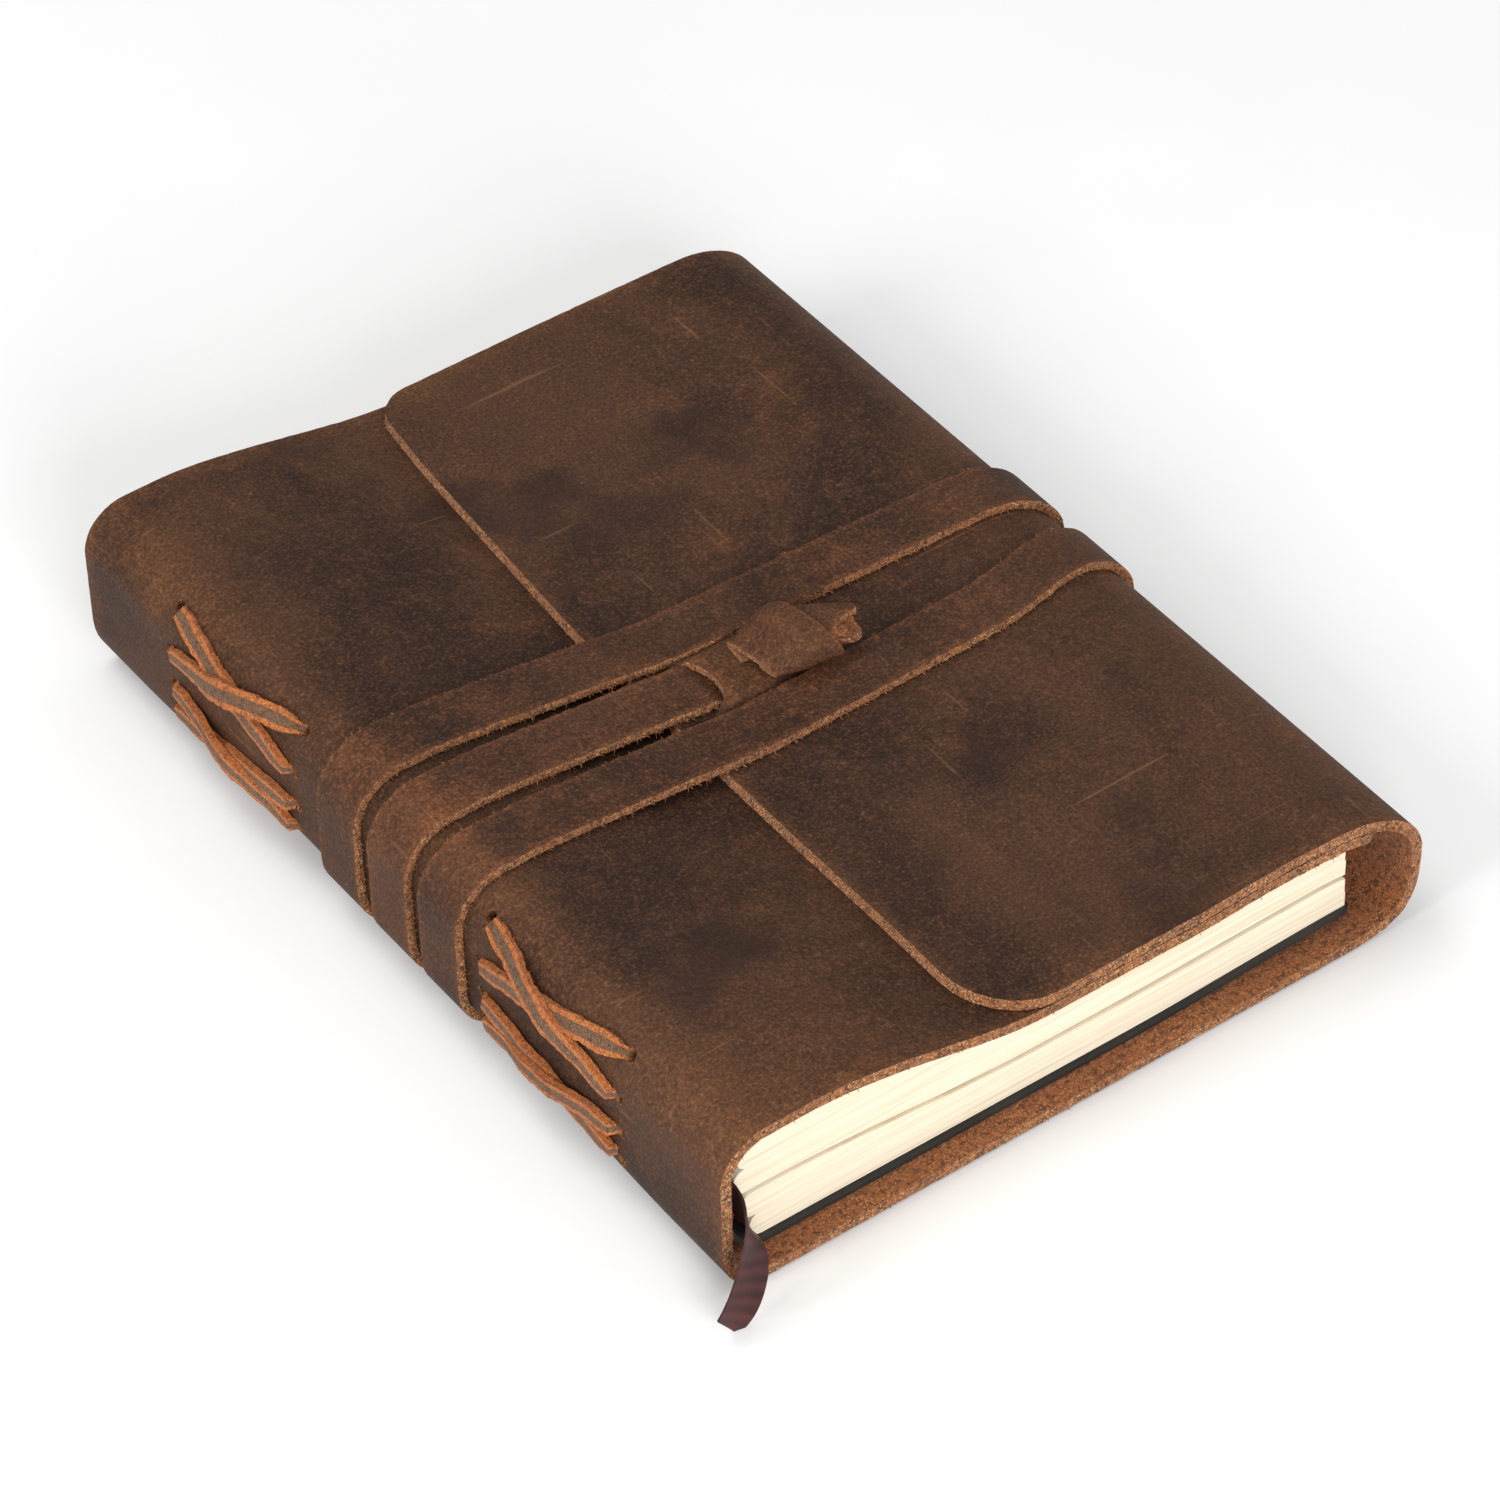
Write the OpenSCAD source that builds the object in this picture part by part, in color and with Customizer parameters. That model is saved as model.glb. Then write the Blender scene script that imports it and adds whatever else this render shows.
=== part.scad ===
// Leather wrap journal: one hide folded round a sewn insert, closed by a flap and a long wound strap.
// X runs from the spine (-) to the fore edge (+), Y from the tail (-) to the head (+), Z is up.
// The origin is the middle of the face that the closed journal rests on.

/* [Hide] */
// Length of the hide from tail to head
cover_len = 178; // [150:1:220]
// Width of the closed hide from the spine to the fore edge
cover_w = 135.5; // [110:0.5:170]
// Height of the front cover's outer face at the spine
spine_h = 32.4; // [27:0.1:40]
// Height of the front cover's outer face away from the spine
front_h = 25.2; // [22:0.1:30]
// Thickness of the hide
leather_t = 2; // [1.5:0.1:2.6]
// Gap between layers that lie on each other
lay_gap = 0.2; // [0.15:0.05:0.4]
// Radius of the upper spine corner
spine_top_r = 8.5; // [7:0.1:10]
// Radius of the lower spine corner
spine_low_r = 8; // [7:0.1:9]
// Length of the slope from the spine's height down to the front's
slope_len = 50; // [35:1:60]

/* [Flap and fore edge] */
// Distance from the spine to the flap's free edge
flap_edge_from_spine = 51; // [40:0.5:60]
// Corner radius of the flap at the head
flap_head_r = 8; // [4:0.5:12]
// Corner radius of the flap at the tail
flap_tail_r = 13; // [6:0.5:18]
// Depth of the rounded fore-edge fold
fold_depth = 16.75; // [14:0.25:20]
// Distance from the fore edge back to the front cover's free edge
front_setback = 6.75; // [5:0.25:10]
// Corner radius of the front cover's free corners
front_corner_r = 6; // [3:0.5:10]
// Height of the line that the flap folds back about
flap_hinge_h = 18.5; // [17:0.5:20]

/* [Insert] */
// Length of the pages from tail to head
page_len = 168; // [140:1:205]
// Distance from the fore edge back to the pages
page_setback = 10.75; // [9:0.25:16]
// Number of sewn signatures
signature_count = 5; // [5]
// Thickness of the card cover of the insert
card_t = 0.7; // [0.5:0.1:1]
// How far the card reaches past the pages
card_margin = 0.8; // [0.4:0.1:1.5]
// Gap between the hide's inner face and the card at the spine, where the laces run
lace_room = 1.8; // [1.7:0.1:2]
// Gap between the card and the signatures' folds, where thread and bookmark lie
gutter = 1.6; // [1.4:0.1:2]
// How far the outer signatures' folds sit back from the middle one's
back_round = 2.6; // [2.4:0.1:3.2]

/* [Strap] */
// Width of the strap
strap_w = 10.4; // [8:0.1:10.8]
// Thickness of the strap
strap_t = 1.5; // [1.2:0.1:1.8]
// Where the head-side turn crosses the spine
turn_a_spine_y = 12; // [10:0.5:16]
// Where the middle turn crosses the spine
turn_b_spine_y = -2.3; // [-3:0.1:-1.5]
// Where the tail-side turn crosses the spine
turn_c_spine_y = -16.4; // [-18:0.1:-15]
// Where the head-side turn crosses the fore edge
turn_a_fore_y = 9; // [7:0.5:11]
// Where the tail-side turn's straight part is heading for at the fore edge
turn_c_fore_y = -14; // [-17:0.1:-13]
// Where the tail-side turn crosses the fore edge, after it has curved towards the head
turn_c_end_y = -10.5; // [-14:0.1:-9]
// Distance from the flap's free edge to the slit that the strap leaves by
slit_inset = 9.7; // [8:0.1:11]

/* [Lacing] */
// Distance from the middle of the spine to the middle of each laced group
lace_group_y = 44.5; // [40:0.5:55]
// Distance between the two columns of holes of a group
lace_span = 37; // [25:0.5:45]
// Radius of a punched hole
lace_hole_r = 1.6; // [1.4:0.1:2]
// Width of the lace
lace_w = 4.2; // [3:0.1:5]
// Thickness of the lace
lace_t = 1.2; // [0.8:0.1:1.3]
// Angle of the top row of holes on the upper spine corner
lace_top_angle = 45; // [35:1:55]
// Heights of the three lower rows of holes
lace_rows = [22, 15, 9.8];

/* [Toggle] */
// Length of the rolled toggle
toggle_len = 18; // [14:0.5:22]
// Width of the rolled toggle
toggle_w = 11.5; // [9:0.5:14]
// Height of the rolled toggle
toggle_h = 8; // [6:0.5:9]
// Distance from the flap's free edge to the toggle's middle
toggle_inset = 24; // [22:0.5:28]
// Middle of the toggle along the journal
toggle_y = -6.3; // [-7:0.1:-5]
// Turn of the toggle in the plane of the flap
toggle_turn = -16; // [-25:1:0]
// Width of the strap's tapered end where it goes into the toggle
tongue_w = 8; // [6:0.5:8.5]
// How far the tapered end reaches into the toggle
tongue_depth = 4; // [3:0.5:6]

/* [Bookmark] */
// Width of the ribbon
ribbon_w = 7; // [5:0.5:8]
// Thickness of the ribbon
ribbon_t = 0.4; // [0.3:0.1:0.5]

/* [Hidden] */
$fn = 48;
eps = 0.01;
half_w = cover_w / 2;
half_len = cover_len / 2;
// The strap lies two layers thick under the hide, where its turns cross
strap_gap = 0.1;
back_z = 2 * (strap_t + strap_gap);
spine_x = -half_w;
top_corner = [spine_x + spine_top_r, spine_h - spine_top_r];
low_corner = [spine_x + spine_low_r, back_z + spine_low_r];

// Fore-edge fold: its middle, and the flap's outer height
fold_x = half_w - fold_depth;
flap_h = front_h + lay_gap + leather_t;
fold_z = (flap_h + back_z) / 2;
fold_half_h = (flap_h - back_z) / 2;

// Hinge lines lie just outside the strap, over the spine's shoulder and beside the fore edge
hinge_clear = 0.1;
strap_out = strap_gap + strap_t;
cover_hinge = [top_corner[0] + 1.25, spine_h + strap_out + hinge_clear];
flap_hinge = [half_w + strap_out + hinge_clear, flap_hinge_h];
joint_gap = 0.15;

flap_edge_x = spine_x + flap_edge_from_spine;
front_edge_x = half_w - front_setback;
page_edge_x = half_w - page_setback;
slit_x = flap_edge_x + slit_inset;
toggle_x = flap_edge_x + toggle_inset;

// Strap section levels over an outer face, first and second layer
layer_1 = [strap_gap, strap_gap + strap_t];
layer_2 = [strap_gap + strap_t + strap_gap, back_z];

lace_cols = [lace_group_y - lace_span / 2, lace_group_y + lace_span / 2];
lace_gap = 0.1;

function smooth(t) = let (u = max(0, min(1, t))) u * u * (3 - 2 * u);
function steps(from, to, n) = [for (i = [0 : n]) from + (to - from) * i / n];
function reversed(list) = [for (i = [len(list) - 1 : -1 : 0]) list[i]];
function mix(a, b, t) = a + (b - a) * t;

// Height of the front cover's outer face, level up to the fold and then round inside it
slope_x = top_corner[0] + 5;
function fold_round(x, inset, power) =
    let (u = max(0, min(1, (x - fold_x) / (fold_depth - inset))))
    pow(1 - pow(u, power), 1 / power);
function front_z(x) =
    x < fold_x
        ? front_h + (spine_h - front_h) * (1 - smooth((x - slope_x) / slope_len))
        : fold_z + (fold_half_h - leather_t - lay_gap) * fold_round(x, leather_t + lay_gap, 2);

function front_path(x0, x1, out, n = 48) = [for (x = steps(x0, x1, n)) [x, front_z(x) + out]];

// The spine from the shoulder down and under, at a distance out from its outer face
function spine_path(out, x_top, x_low) = concat(
    [[x_top, spine_h + out]],
    [for (a = steps(90, 180, 12)) top_corner + (spine_top_r + out) * [cos(a), sin(a)]],
    [for (a = steps(180, 270, 12)) low_corner + (spine_low_r + out) * [cos(a), sin(a)]],
    [[x_low, back_z - out]]);

// The fold seen from the tail, from angle a0 to a1, 90 up and -90 down; its lower half is squarer
function power_sign(v, p) = (v < 0 ? -1 : 1) * pow(abs(v), p);
function fold_path(a0, a1, out, n = 16) = [for (a = steps(a0, a1, n))
    let (p = a < 0 ? 2 / 3 : 1)
    [fold_x + (fold_depth + out) * pow(max(0, cos(a)), p),
     fold_z + (fold_half_h + out) * power_sign(sin(a), p)]];
fold_split = asin((flap_hinge[1] - fold_z) / fold_half_h);

// Extrudes a tail-view outline along the journal from y0 to y1
module along(y0, y1) {
    translate([0, y1, 0]) rotate([90, 0, 0]) linear_extrude(height = y1 - y0) children();
}

// A layer between two outlines that run side by side
module layer(inner, outer) {
    polygon(concat(inner, reversed(outer)));
}

// A block seen from above that slants from one end to the other
module slanted(x0, x1, y0, y1, w) {
    translate([0, 0, -1]) linear_extrude(height = spine_h * 2)
        polygon([[x0, y0 - w / 2], [x1, y1 - w / 2], [x1, y1 + w / 2], [x0, y0 + w / 2]]);
}

// Where a front turn's middle lies at x
function turn_y(x, spine_y, fore_y) =
    mix(spine_y, fore_y, (x - cover_hinge[0]) / (fold_x - cover_hinge[0]));
turn_b_slit_y = turn_b_spine_y + 0.5;

// ---- hide ----

// Places a lace hole's axis: the top row is square to the corner, the others to the spine
module at_row(row) {
    if (row == 0)
        translate([top_corner[0], 0, top_corner[1]]) rotate([0, lace_top_angle - 90, 0])
            translate([0, 0, spine_top_r]) children();
    else
        translate([spine_x, 0, lace_rows[row - 1]]) rotate([0, -90, 0]) children();
}

module lace_holes(r, depth, height) {
    for (side = [-1, 1], y = lace_cols, row = [0 : 3])
        translate([0, side * y, 0]) at_row(row)
            translate([0, 0, -depth]) cylinder(r = r, h = depth + height);
}

module back_and_spine_leather() {
    color("#48301f") difference() {
        union() {
            along(-half_len, half_len) layer(
                spine_path(0, cover_hinge[0] - joint_gap, fold_x),
                spine_path(-leather_t, cover_hinge[0] - joint_gap, fold_x));
            along(-half_len, half_len) difference() {
                layer(fold_path(-90, fold_split, 0), fold_path(-90, fold_split, -leather_t));
                translate([0, flap_hinge[1] - joint_gap]) square(cover_w);
            }
        }
        lace_holes(lace_hole_r, leather_t + lace_room / 2, 1);
    }
}

module rounded_ends(x0, x1, r_tail, r_head) {
    translate([0, 0, -1]) linear_extrude(height = spine_h * 2) union() {
        translate([x0 + r_tail, -half_len]) square([x1 - x0 - r_tail, half_len]);
        translate([x0 + r_head, 0]) square([x1 - x0 - r_head, half_len]);
        translate([x0, r_tail - half_len]) square([x1 - x0, cover_len - r_tail - r_head]);
        translate([x0 + r_tail, r_tail - half_len]) circle(r = r_tail);
        translate([x0 + r_head, half_len - r_head]) circle(r = r_head);
    }
}

module front_cover_leather() {
    color("#4a3122") intersection() {
        along(-half_len, half_len) layer(
            front_path(cover_hinge[0] + joint_gap, front_edge_x, 0),
            front_path(cover_hinge[0] + joint_gap, front_edge_x, -leather_t));
        mirror([1, 0, 0])
            rounded_ends(-front_edge_x, -cover_hinge[0] - joint_gap / 2, front_corner_r, front_corner_r);
    }
}

// The flap bulges over the strap that runs beneath it, from the slit to the foot of the toggle
room = 0.45;
bulge_wall = 1.2;
slit_open = 2.4;
bulge_end = toggle_x - toggle_len / 2 - 1.8;
anchor_y = turn_b_slit_y;
anchor_low = front_z(slit_x) + lay_gap + 0.1;
bulge_top = anchor_low + strap_t + room + bulge_wall;
module bulge() {
    w = strap_w + 2 * room + 1;
    low = flap_h - leather_t / 2;
    along(anchor_y - w / 2, anchor_y + w / 2)
        polygon([[slit_x, low], [slit_x, bulge_top], [bulge_end - 2, bulge_top], [bulge_end, low]]);
}

module flap_leather() {
    color("#4d3323") difference() {
        union() {
            intersection() {
                along(-half_len, half_len) layer(
                    front_path(flap_edge_x, fold_x, lay_gap + leather_t),
                    front_path(flap_edge_x, fold_x, lay_gap));
                rounded_ends(flap_edge_x, fold_x, flap_tail_r, flap_head_r);
            }
            along(-half_len, half_len) difference() {
                layer(fold_path(90, 0, 0), fold_path(90, 0, -leather_t));
                translate([0, flap_hinge[1] - cover_w]) square(cover_w);
            }
            bulge();
        }
        // room for the strap under the bulge, open at the slit and at the toggle's foot
        translate([slit_x - slit_open, anchor_y - strap_w / 2 - room, front_h - leather_t])
            cube([bulge_end - slit_x + slit_open + room, strap_w + 2 * room,
                anchor_low + strap_t + room - front_h + leather_t]);
        translate([slit_x - slit_open, anchor_y - strap_w / 2 - room, front_h])
            cube([slit_open, strap_w + 2 * room, leather_t * 3]);
        translate([bulge_end - strap_t - room, anchor_y - tongue_w / 2 - room, front_h])
            cube([strap_t + 2 * room, tongue_w + 2 * room, leather_t * 3]);
    }
}

// ---- insert ----

// Levels of the insert's outer face: the stack rises a little towards the fore edge
card_low = back_z + leather_t + 0.1;
function stack_rise(x) = 1.3 * smooth((x - 12) / (page_edge_x - 12));
function card_low_z(x) = card_low + stack_rise(x);
function card_top_z(x) = front_z(x) - leather_t - lay_gap;
card_x = spine_x + leather_t + lace_room;
card_top_r = 8;
card_low_r = 7.5;
card_top_c = [card_x + card_top_r, spine_h - leather_t - lay_gap - card_top_r];
card_low_c = [card_x + card_low_r, card_low + card_low_r];
card_edge_x = page_edge_x + card_margin;

function card_path(in) = concat(
    reversed([for (x = steps(card_top_c[0], card_edge_x, 72)) [x, card_top_z(x) - in]]),
    [for (a = steps(95, 180, 8)) card_top_c + (card_top_r - in) * [cos(a), sin(a)]],
    [for (a = steps(180, 265, 8)) card_low_c + (card_low_r - in) * [cos(a), sin(a)]],
    [for (x = steps(card_low_c[0], card_edge_x, 20)) [x, card_low_z(x) + in]]);

module insert_card_cover() {
    color("#1c1b1a") along(-page_len / 2 - card_margin, page_len / 2 + card_margin)
        layer(card_path(0), card_path(card_t));
}

// Each signature is a folded stack, thicker at its round fold than at the fore edge
page_gap = 0.1;
fold_x0 = card_x + card_t + gutter;
function share_z(x, k) = mix(card_low_z(x) + card_t, card_top_z(x) - card_t, k / signature_count);
middle_signature = (signature_count - 1) / 2;
module signature(i) {
    x0 = fold_x0 + back_round * pow((i - middle_signature) / middle_signature, 2);
    r = (share_z(x0 + 3, i + 1) - share_z(x0 + 3, i)) / 2 - page_gap;
    mid = (share_z(x0 + 3, i + 1) + share_z(x0 + 3, i)) / 2;
    edge_step = 0.5 * (i % 2);
    color("#f2e8d2") along(-page_len / 2, page_len / 2) polygon(concat(
        reversed([for (x = steps(x0 + r, page_edge_x - edge_step, 56)) [x, share_z(x, i + 1) - page_gap]]),
        [for (a = steps(95, 265, 12)) [x0 + r, mid] + r * [cos(a), sin(a)]],
        [for (x = steps(x0 + r, page_edge_x - edge_step, 56)) [x, share_z(x, i) + page_gap]]));
}
module signature_1() signature(0);
module signature_2() signature(1);
module signature_3() signature(2);
module signature_4() signature(3);
module signature_5() signature(4);

// Sewing thread: long stitches over the folds, tied across between them at each station
thread_r = 0.25;
thread_end = 0.8;
thread_x = fold_x0 - thread_r - 0.05;
module insert_sewing_thread() {
    stations = [for (i = [-2 : 2]) i * page_len / 6];
    low = share_z(fold_x0 + 3, thread_end);
    high = share_z(fold_x0 + 3, signature_count - thread_end);
    color("#e6dcc4") for (y = stations)
        translate([thread_x, y, low]) cylinder(r = thread_r, h = high - low, $fn = 16);
}

// ---- lacing ----

// Shell round the spine between two distances from its outer face
module spine_shell(y0, y1, d0, d1) {
    along(y0, y1) layer(
        spine_path(d0, top_corner[0] + eps, low_corner[0] + eps),
        spine_path(d1, top_corner[0] + eps, low_corner[0] + eps));
}

row_z = [top_corner[1] + spine_top_r * sin(lace_top_angle), lace_rows[0], lace_rows[1], lace_rows[2]];

// A straight strip seen square to the spine, from one hole to another
module strip_side(y0, z0, y1, z1) {
    run = [y1 - y0, z1 - z0];
    len_run = norm(run);
    ext = lace_w / 2 / len_run;
    across = [-run[1], run[0]] / len_run * lace_w / 2;
    p = [y0, z0] - run * ext;
    q = [y1, z1] + run * ext;
    translate([-cover_w, 0, 0]) rotate([90, 0, 90]) linear_extrude(height = cover_w)
        polygon([p - across, q - across, q + across, p + across]);
}

module lace(side) {
    a = side * lace_cols[0];
    b = side * lace_cols[1];
    lo = min(a, b) - lace_w;
    hi = max(a, b) + lace_w;
    color("#8a5a35") union() {
        intersection() {
            spine_shell(lo, hi, lace_gap, lace_gap + lace_t);
            for (row = [0, 2]) {
                strip_side(a, row_z[row], b, row_z[row + 1]);
                strip_side(b, row_z[row], a, row_z[row + 1]);
            }
        }
        intersection() {
            spine_shell(lo, hi, -leather_t - lace_gap - lace_t, -leather_t - lace_gap);
            // the inside stitches stop just past their top holes
            translate([spine_x, lo, 0]) cube([spine_top_r - leather_t, hi - lo, spine_h]);
            union() {
                strip_side(a, row_z[0], a, row_z[1]);
                strip_side(b, row_z[1], b, row_z[2]);
                strip_side(a, row_z[2], a, row_z[3]);
            }
        }
        for (y = [a, b], row = [0 : 3])
            translate([0, y, 0]) at_row(row) {
                inner = leather_t + lace_gap + ((y == a || row == 1 || row == 2) ? lace_t / 2 : 0);
                translate([0, 0, -inner])
                    cylinder(r = lace_hole_r - 0.2, h = inner + lace_gap + lace_t / 2);
            }
    }
}
module head_lace() lace(1);
module tail_lace() lace(-1);

// ---- strap ----

// A turn round the spine from the shoulder to the back
module spine_turn(y) {
    along(y - strap_w / 2, y + strap_w / 2) layer(
        spine_path(layer_1[0], cover_hinge[0] - joint_gap, low_corner[0] + 1),
        spine_path(layer_1[1], cover_hinge[0] - joint_gap, low_corner[0] + 1));
}

// A run under the back, in the first or the second layer
module back_run(x0, x1, y0, y1, levels) {
    translate([0, 0, back_z - levels[1]]) linear_extrude(height = levels[1] - levels[0])
        polygon([[x0, y0 - strap_w / 2], [x1, y1 - strap_w / 2], [x1, y1 + strap_w / 2], [x0, y0 + strap_w / 2]]);
}

// The lower half of a turn round the fore edge
module fore_turn_low(y, levels) {
    along(y - strap_w / 2, y + strap_w / 2) difference() {
        layer(fold_path(-90, fold_split, levels[0]), fold_path(-90, fold_split, levels[1]));
        translate([0, flap_hinge[1] - joint_gap]) square(cover_w);
    }
}

// A turn that steps from the first layer to the second as it goes under the back
module step_down(y, x0, x1) {
    along(y - strap_w / 2, y + strap_w / 2) polygon([
        [x0, back_z - layer_1[0]], [x1, back_z - layer_2[0]],
        [x1, back_z - layer_2[1]], [x0, back_z - layer_1[1]]]);
}

step_len = 6;
module strap_inner_turn() {
    color("#5a3a26") union() {
        spine_turn(turn_b_spine_y);
        back_run(low_corner[0] + 1 - eps, fold_x + eps, turn_b_spine_y, turn_a_fore_y, layer_1);
        fore_turn_low(turn_a_fore_y, layer_1);
    }
}

module strap_outer_turn() {
    x_in = low_corner[0] + 1;
    color("#5a3a26") union() {
        spine_turn(turn_a_spine_y);
        step_down(turn_a_spine_y, x_in - eps, x_in + step_len);
        back_run(x_in + step_len - eps, fold_x - step_len + eps, turn_a_spine_y, turn_c_end_y, layer_2);
        step_down(turn_c_end_y, fold_x + eps, fold_x - step_len);
        fore_turn_low(turn_c_end_y, layer_1);
    }
}

strap_end_len = 40;
module strap_end() {
    x_in = low_corner[0] + 1;
    color("#5a3a26") union() {
        spine_turn(turn_c_spine_y);
        back_run(x_in - eps, x_in + strap_end_len, turn_c_spine_y, turn_c_spine_y - 3, layer_1);
    }
}

// A run over the front cover, from the shoulder to the flap's free edge
module cover_run(spine_y, fore_y) {
    x0 = cover_hinge[0] + joint_gap;
    x1 = flap_edge_x - 2 * joint_gap;
    color("#5c3b27") intersection() {
        along(-half_len, half_len) layer(front_path(x0, x1, layer_1[0]), front_path(x0, x1, layer_1[1]));
        slanted(x0, x1, turn_y(x0, spine_y, fore_y), turn_y(x1, spine_y, fore_y), strap_w);
    }
}
turn_b_fore_y = turn_b_spine_y
    + (turn_b_slit_y - turn_b_spine_y) * (fold_x - cover_hinge[0]) / (slit_x - cover_hinge[0]);
module strap_cover_run_a() cover_run(turn_a_spine_y, turn_a_fore_y);
module strap_cover_run_b() cover_run(turn_b_spine_y, turn_b_fore_y);
module strap_cover_run_c() cover_run(turn_c_spine_y, turn_c_fore_y);

// A run over the flap and the upper half of the fore edge: straight, then bent towards end_y
module flap_run(spine_y, fore_y, end_y) {
    on_flap = lay_gap + leather_t;
    x0 = flap_edge_x;
    bend_x = fold_x - 15;
    bend_y = turn_y(bend_x, spine_y, fore_y);
    color("#5c3b27") union() {
        intersection() {
            along(-half_len, half_len) layer(
                front_path(x0, fold_x + eps, on_flap + layer_1[0]), front_path(x0, fold_x + eps, on_flap + layer_1[1]));
            union() {
                slanted(x0, bend_x, turn_y(x0, spine_y, fore_y), bend_y, strap_w);
                slanted(bend_x, fold_x, bend_y, end_y, strap_w);
                slanted(fold_x, fold_x + 1, end_y, end_y, strap_w);
            }
        }
        along(end_y - strap_w / 2, end_y + strap_w / 2) difference() {
            layer(fold_path(90, 0, layer_1[0]), fold_path(90, 0, layer_1[1]));
            translate([0, flap_hinge[1] - cover_w]) square(cover_w);
        }
    }
}
module strap_flap_run_a() flap_run(turn_a_spine_y, turn_a_fore_y, turn_a_fore_y);
module strap_flap_run_c() flap_run(turn_c_spine_y, turn_c_fore_y, turn_c_end_y);

// The strap's first stretch: out of the toggle, down through the flap, out of the slit, to the edge
toggle_gap = 0.15;
toggle_base = flap_h + layer_1[1] + toggle_gap;
toggle_mid_z = toggle_base + toggle_h / 2;
foot_limit = bulge_end + toggle_gap;
module in_toggle() {
    translate([toggle_x, toggle_y, toggle_mid_z]) rotate([0, 0, toggle_turn]) children();
}
// Block in the toggle's own frame, from the strap's foot outside it to a depth inside it
module tongue(depth, w, t) {
    reach = toggle_x - toggle_len / 2 - bulge_end + strap_t / 2;
    in_toggle() translate([-toggle_len / 2 - reach, -w / 2, -t / 2]) cube([depth + reach, w, t]);
}
module strap_anchor_run() {
    on_flap = lay_gap + leather_t + strap_gap;
    foot_x = bulge_end - strap_t;
    rise_x = slit_x - slit_open + 0.4;
    color("#5c3b27") union() {
        translate([slit_x - 0.1, anchor_y - strap_w / 2, anchor_low])
            cube([foot_x - slit_x + 0.1 + strap_t, strap_w, strap_t]);
        translate([foot_x, anchor_y - tongue_w / 2, anchor_low])
            cube([strap_t, tongue_w, toggle_mid_z - anchor_low + strap_t / 2]);
        tongue(tongue_depth, tongue_w - 1, strap_t);
        intersection() {
            along(anchor_y - strap_w, anchor_y + strap_w) union() {
                polygon([
                    [slit_x, anchor_low], [slit_x, anchor_low + strap_t], [slit_x - 0.1, anchor_low + strap_t],
                    [rise_x, front_z(rise_x) + on_flap + strap_t], [rise_x, front_z(rise_x) + on_flap],
                    [slit_x - 0.1, anchor_low]]);
                layer(front_path(flap_edge_x, rise_x, on_flap, 6), front_path(flap_edge_x, rise_x, on_flap + strap_t, 6));
            }
            slanted(flap_edge_x, slit_x, turn_y(flap_edge_x, turn_b_spine_y, turn_b_fore_y), anchor_y, strap_w);
        }
    }
}

// ---- toggle ----

// A strip rolled up tight: a flattened coil with a step where its outer end lies
function roll_point(a, grow) = [
    (toggle_w / 2 - grow) * cos(a), (toggle_h / 2 - grow) * sin(a)];
module toggle_knot() {
    color("#5e3c27") difference() {
        in_toggle() rotate([90, 0, 90]) linear_extrude(height = toggle_len, center = true)
            polygon([for (a = [0 : 10 : 350]) roll_point(a, 0.9 * a / 360)]);
        // the strap's first stretch ends inside the roll
        tongue(tongue_depth + 2 * toggle_gap, tongue_w + 2 * toggle_gap, strap_t + 2 * toggle_gap);
        translate([foot_limit, anchor_y - strap_w, toggle_base - 1]) mirror([1, 0, 0])
            cube([10, 2 * strap_w, toggle_h + 2]);
    }
}

// ---- bookmark ----

// Route of the ribbon's middle: along the folds at mid height, out at the tail, down to the table
ribbon_x = card_x + card_t + 0.35;
ribbon_z = 16;
ribbon_tail = -half_len;
ribbon_route = [[ribbon_x, page_len / 2 - 4, ribbon_z], [ribbon_x, page_len / 4, ribbon_z],
    [ribbon_x, 0, ribbon_z], [ribbon_x, -page_len / 4, ribbon_z], [ribbon_x, 6 - page_len / 2, ribbon_z],
    [ribbon_x, ribbon_tail + 3, ribbon_z - 0.2],
    [ribbon_x - 0.5, ribbon_tail - 0.5, ribbon_z - 1.2], [ribbon_x - 1.5, ribbon_tail - 3.2, ribbon_z - 3.4],
    [ribbon_x - 2.9, ribbon_tail - 4.7, ribbon_z - 6.2], [ribbon_x - 4.5, ribbon_tail - 5.5, 7],
    [ribbon_x - 6.1, ribbon_tail - 5.9, 4.7], [ribbon_x - 7.7, ribbon_tail - 5.9, 2.75],
    [ribbon_x - 9.2, ribbon_tail - 5.6, 1]];
// How far its width leans from level, in degrees, at each point
ribbon_lean = [90, 90, 90, 90, 90, 90, 78, 62, 48, 36, 24, 14, 8];
module bookmark_ribbon() {
    n = len(ribbon_route);
    points = [for (i = [0 : n - 1])
        let (p = ribbon_route[i],
             d = ribbon_route[min(i + 1, n - 1)] - ribbon_route[max(i - 1, 0)],
             along_dir = d / norm(d),
             w0 = [-cos(ribbon_lean[i]), 0, sin(ribbon_lean[i])],
             w1 = w0 - (w0 * along_dir) * along_dir,
             w = w1 / norm(w1) * ribbon_w / 2,
             t = cross(along_dir, w) / norm(w) * ribbon_t / 2)
        each [p - w - t, p + w - t, p + w + t, p - w + t]];
    sides = [for (i = [0 : n - 2], k = [0 : 3])
        let (a = 4 * i + k, b = 4 * i + (k + 1) % 4)
        each [[a, b, b + 4], [a, b + 4, a + 4]]];
    color("#3a2224") polyhedron(points, concat([[3, 2, 1, 0]], sides,
        [[4 * n - 4, 4 * n - 3, 4 * n - 2, 4 * n - 1]]));
}

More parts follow.
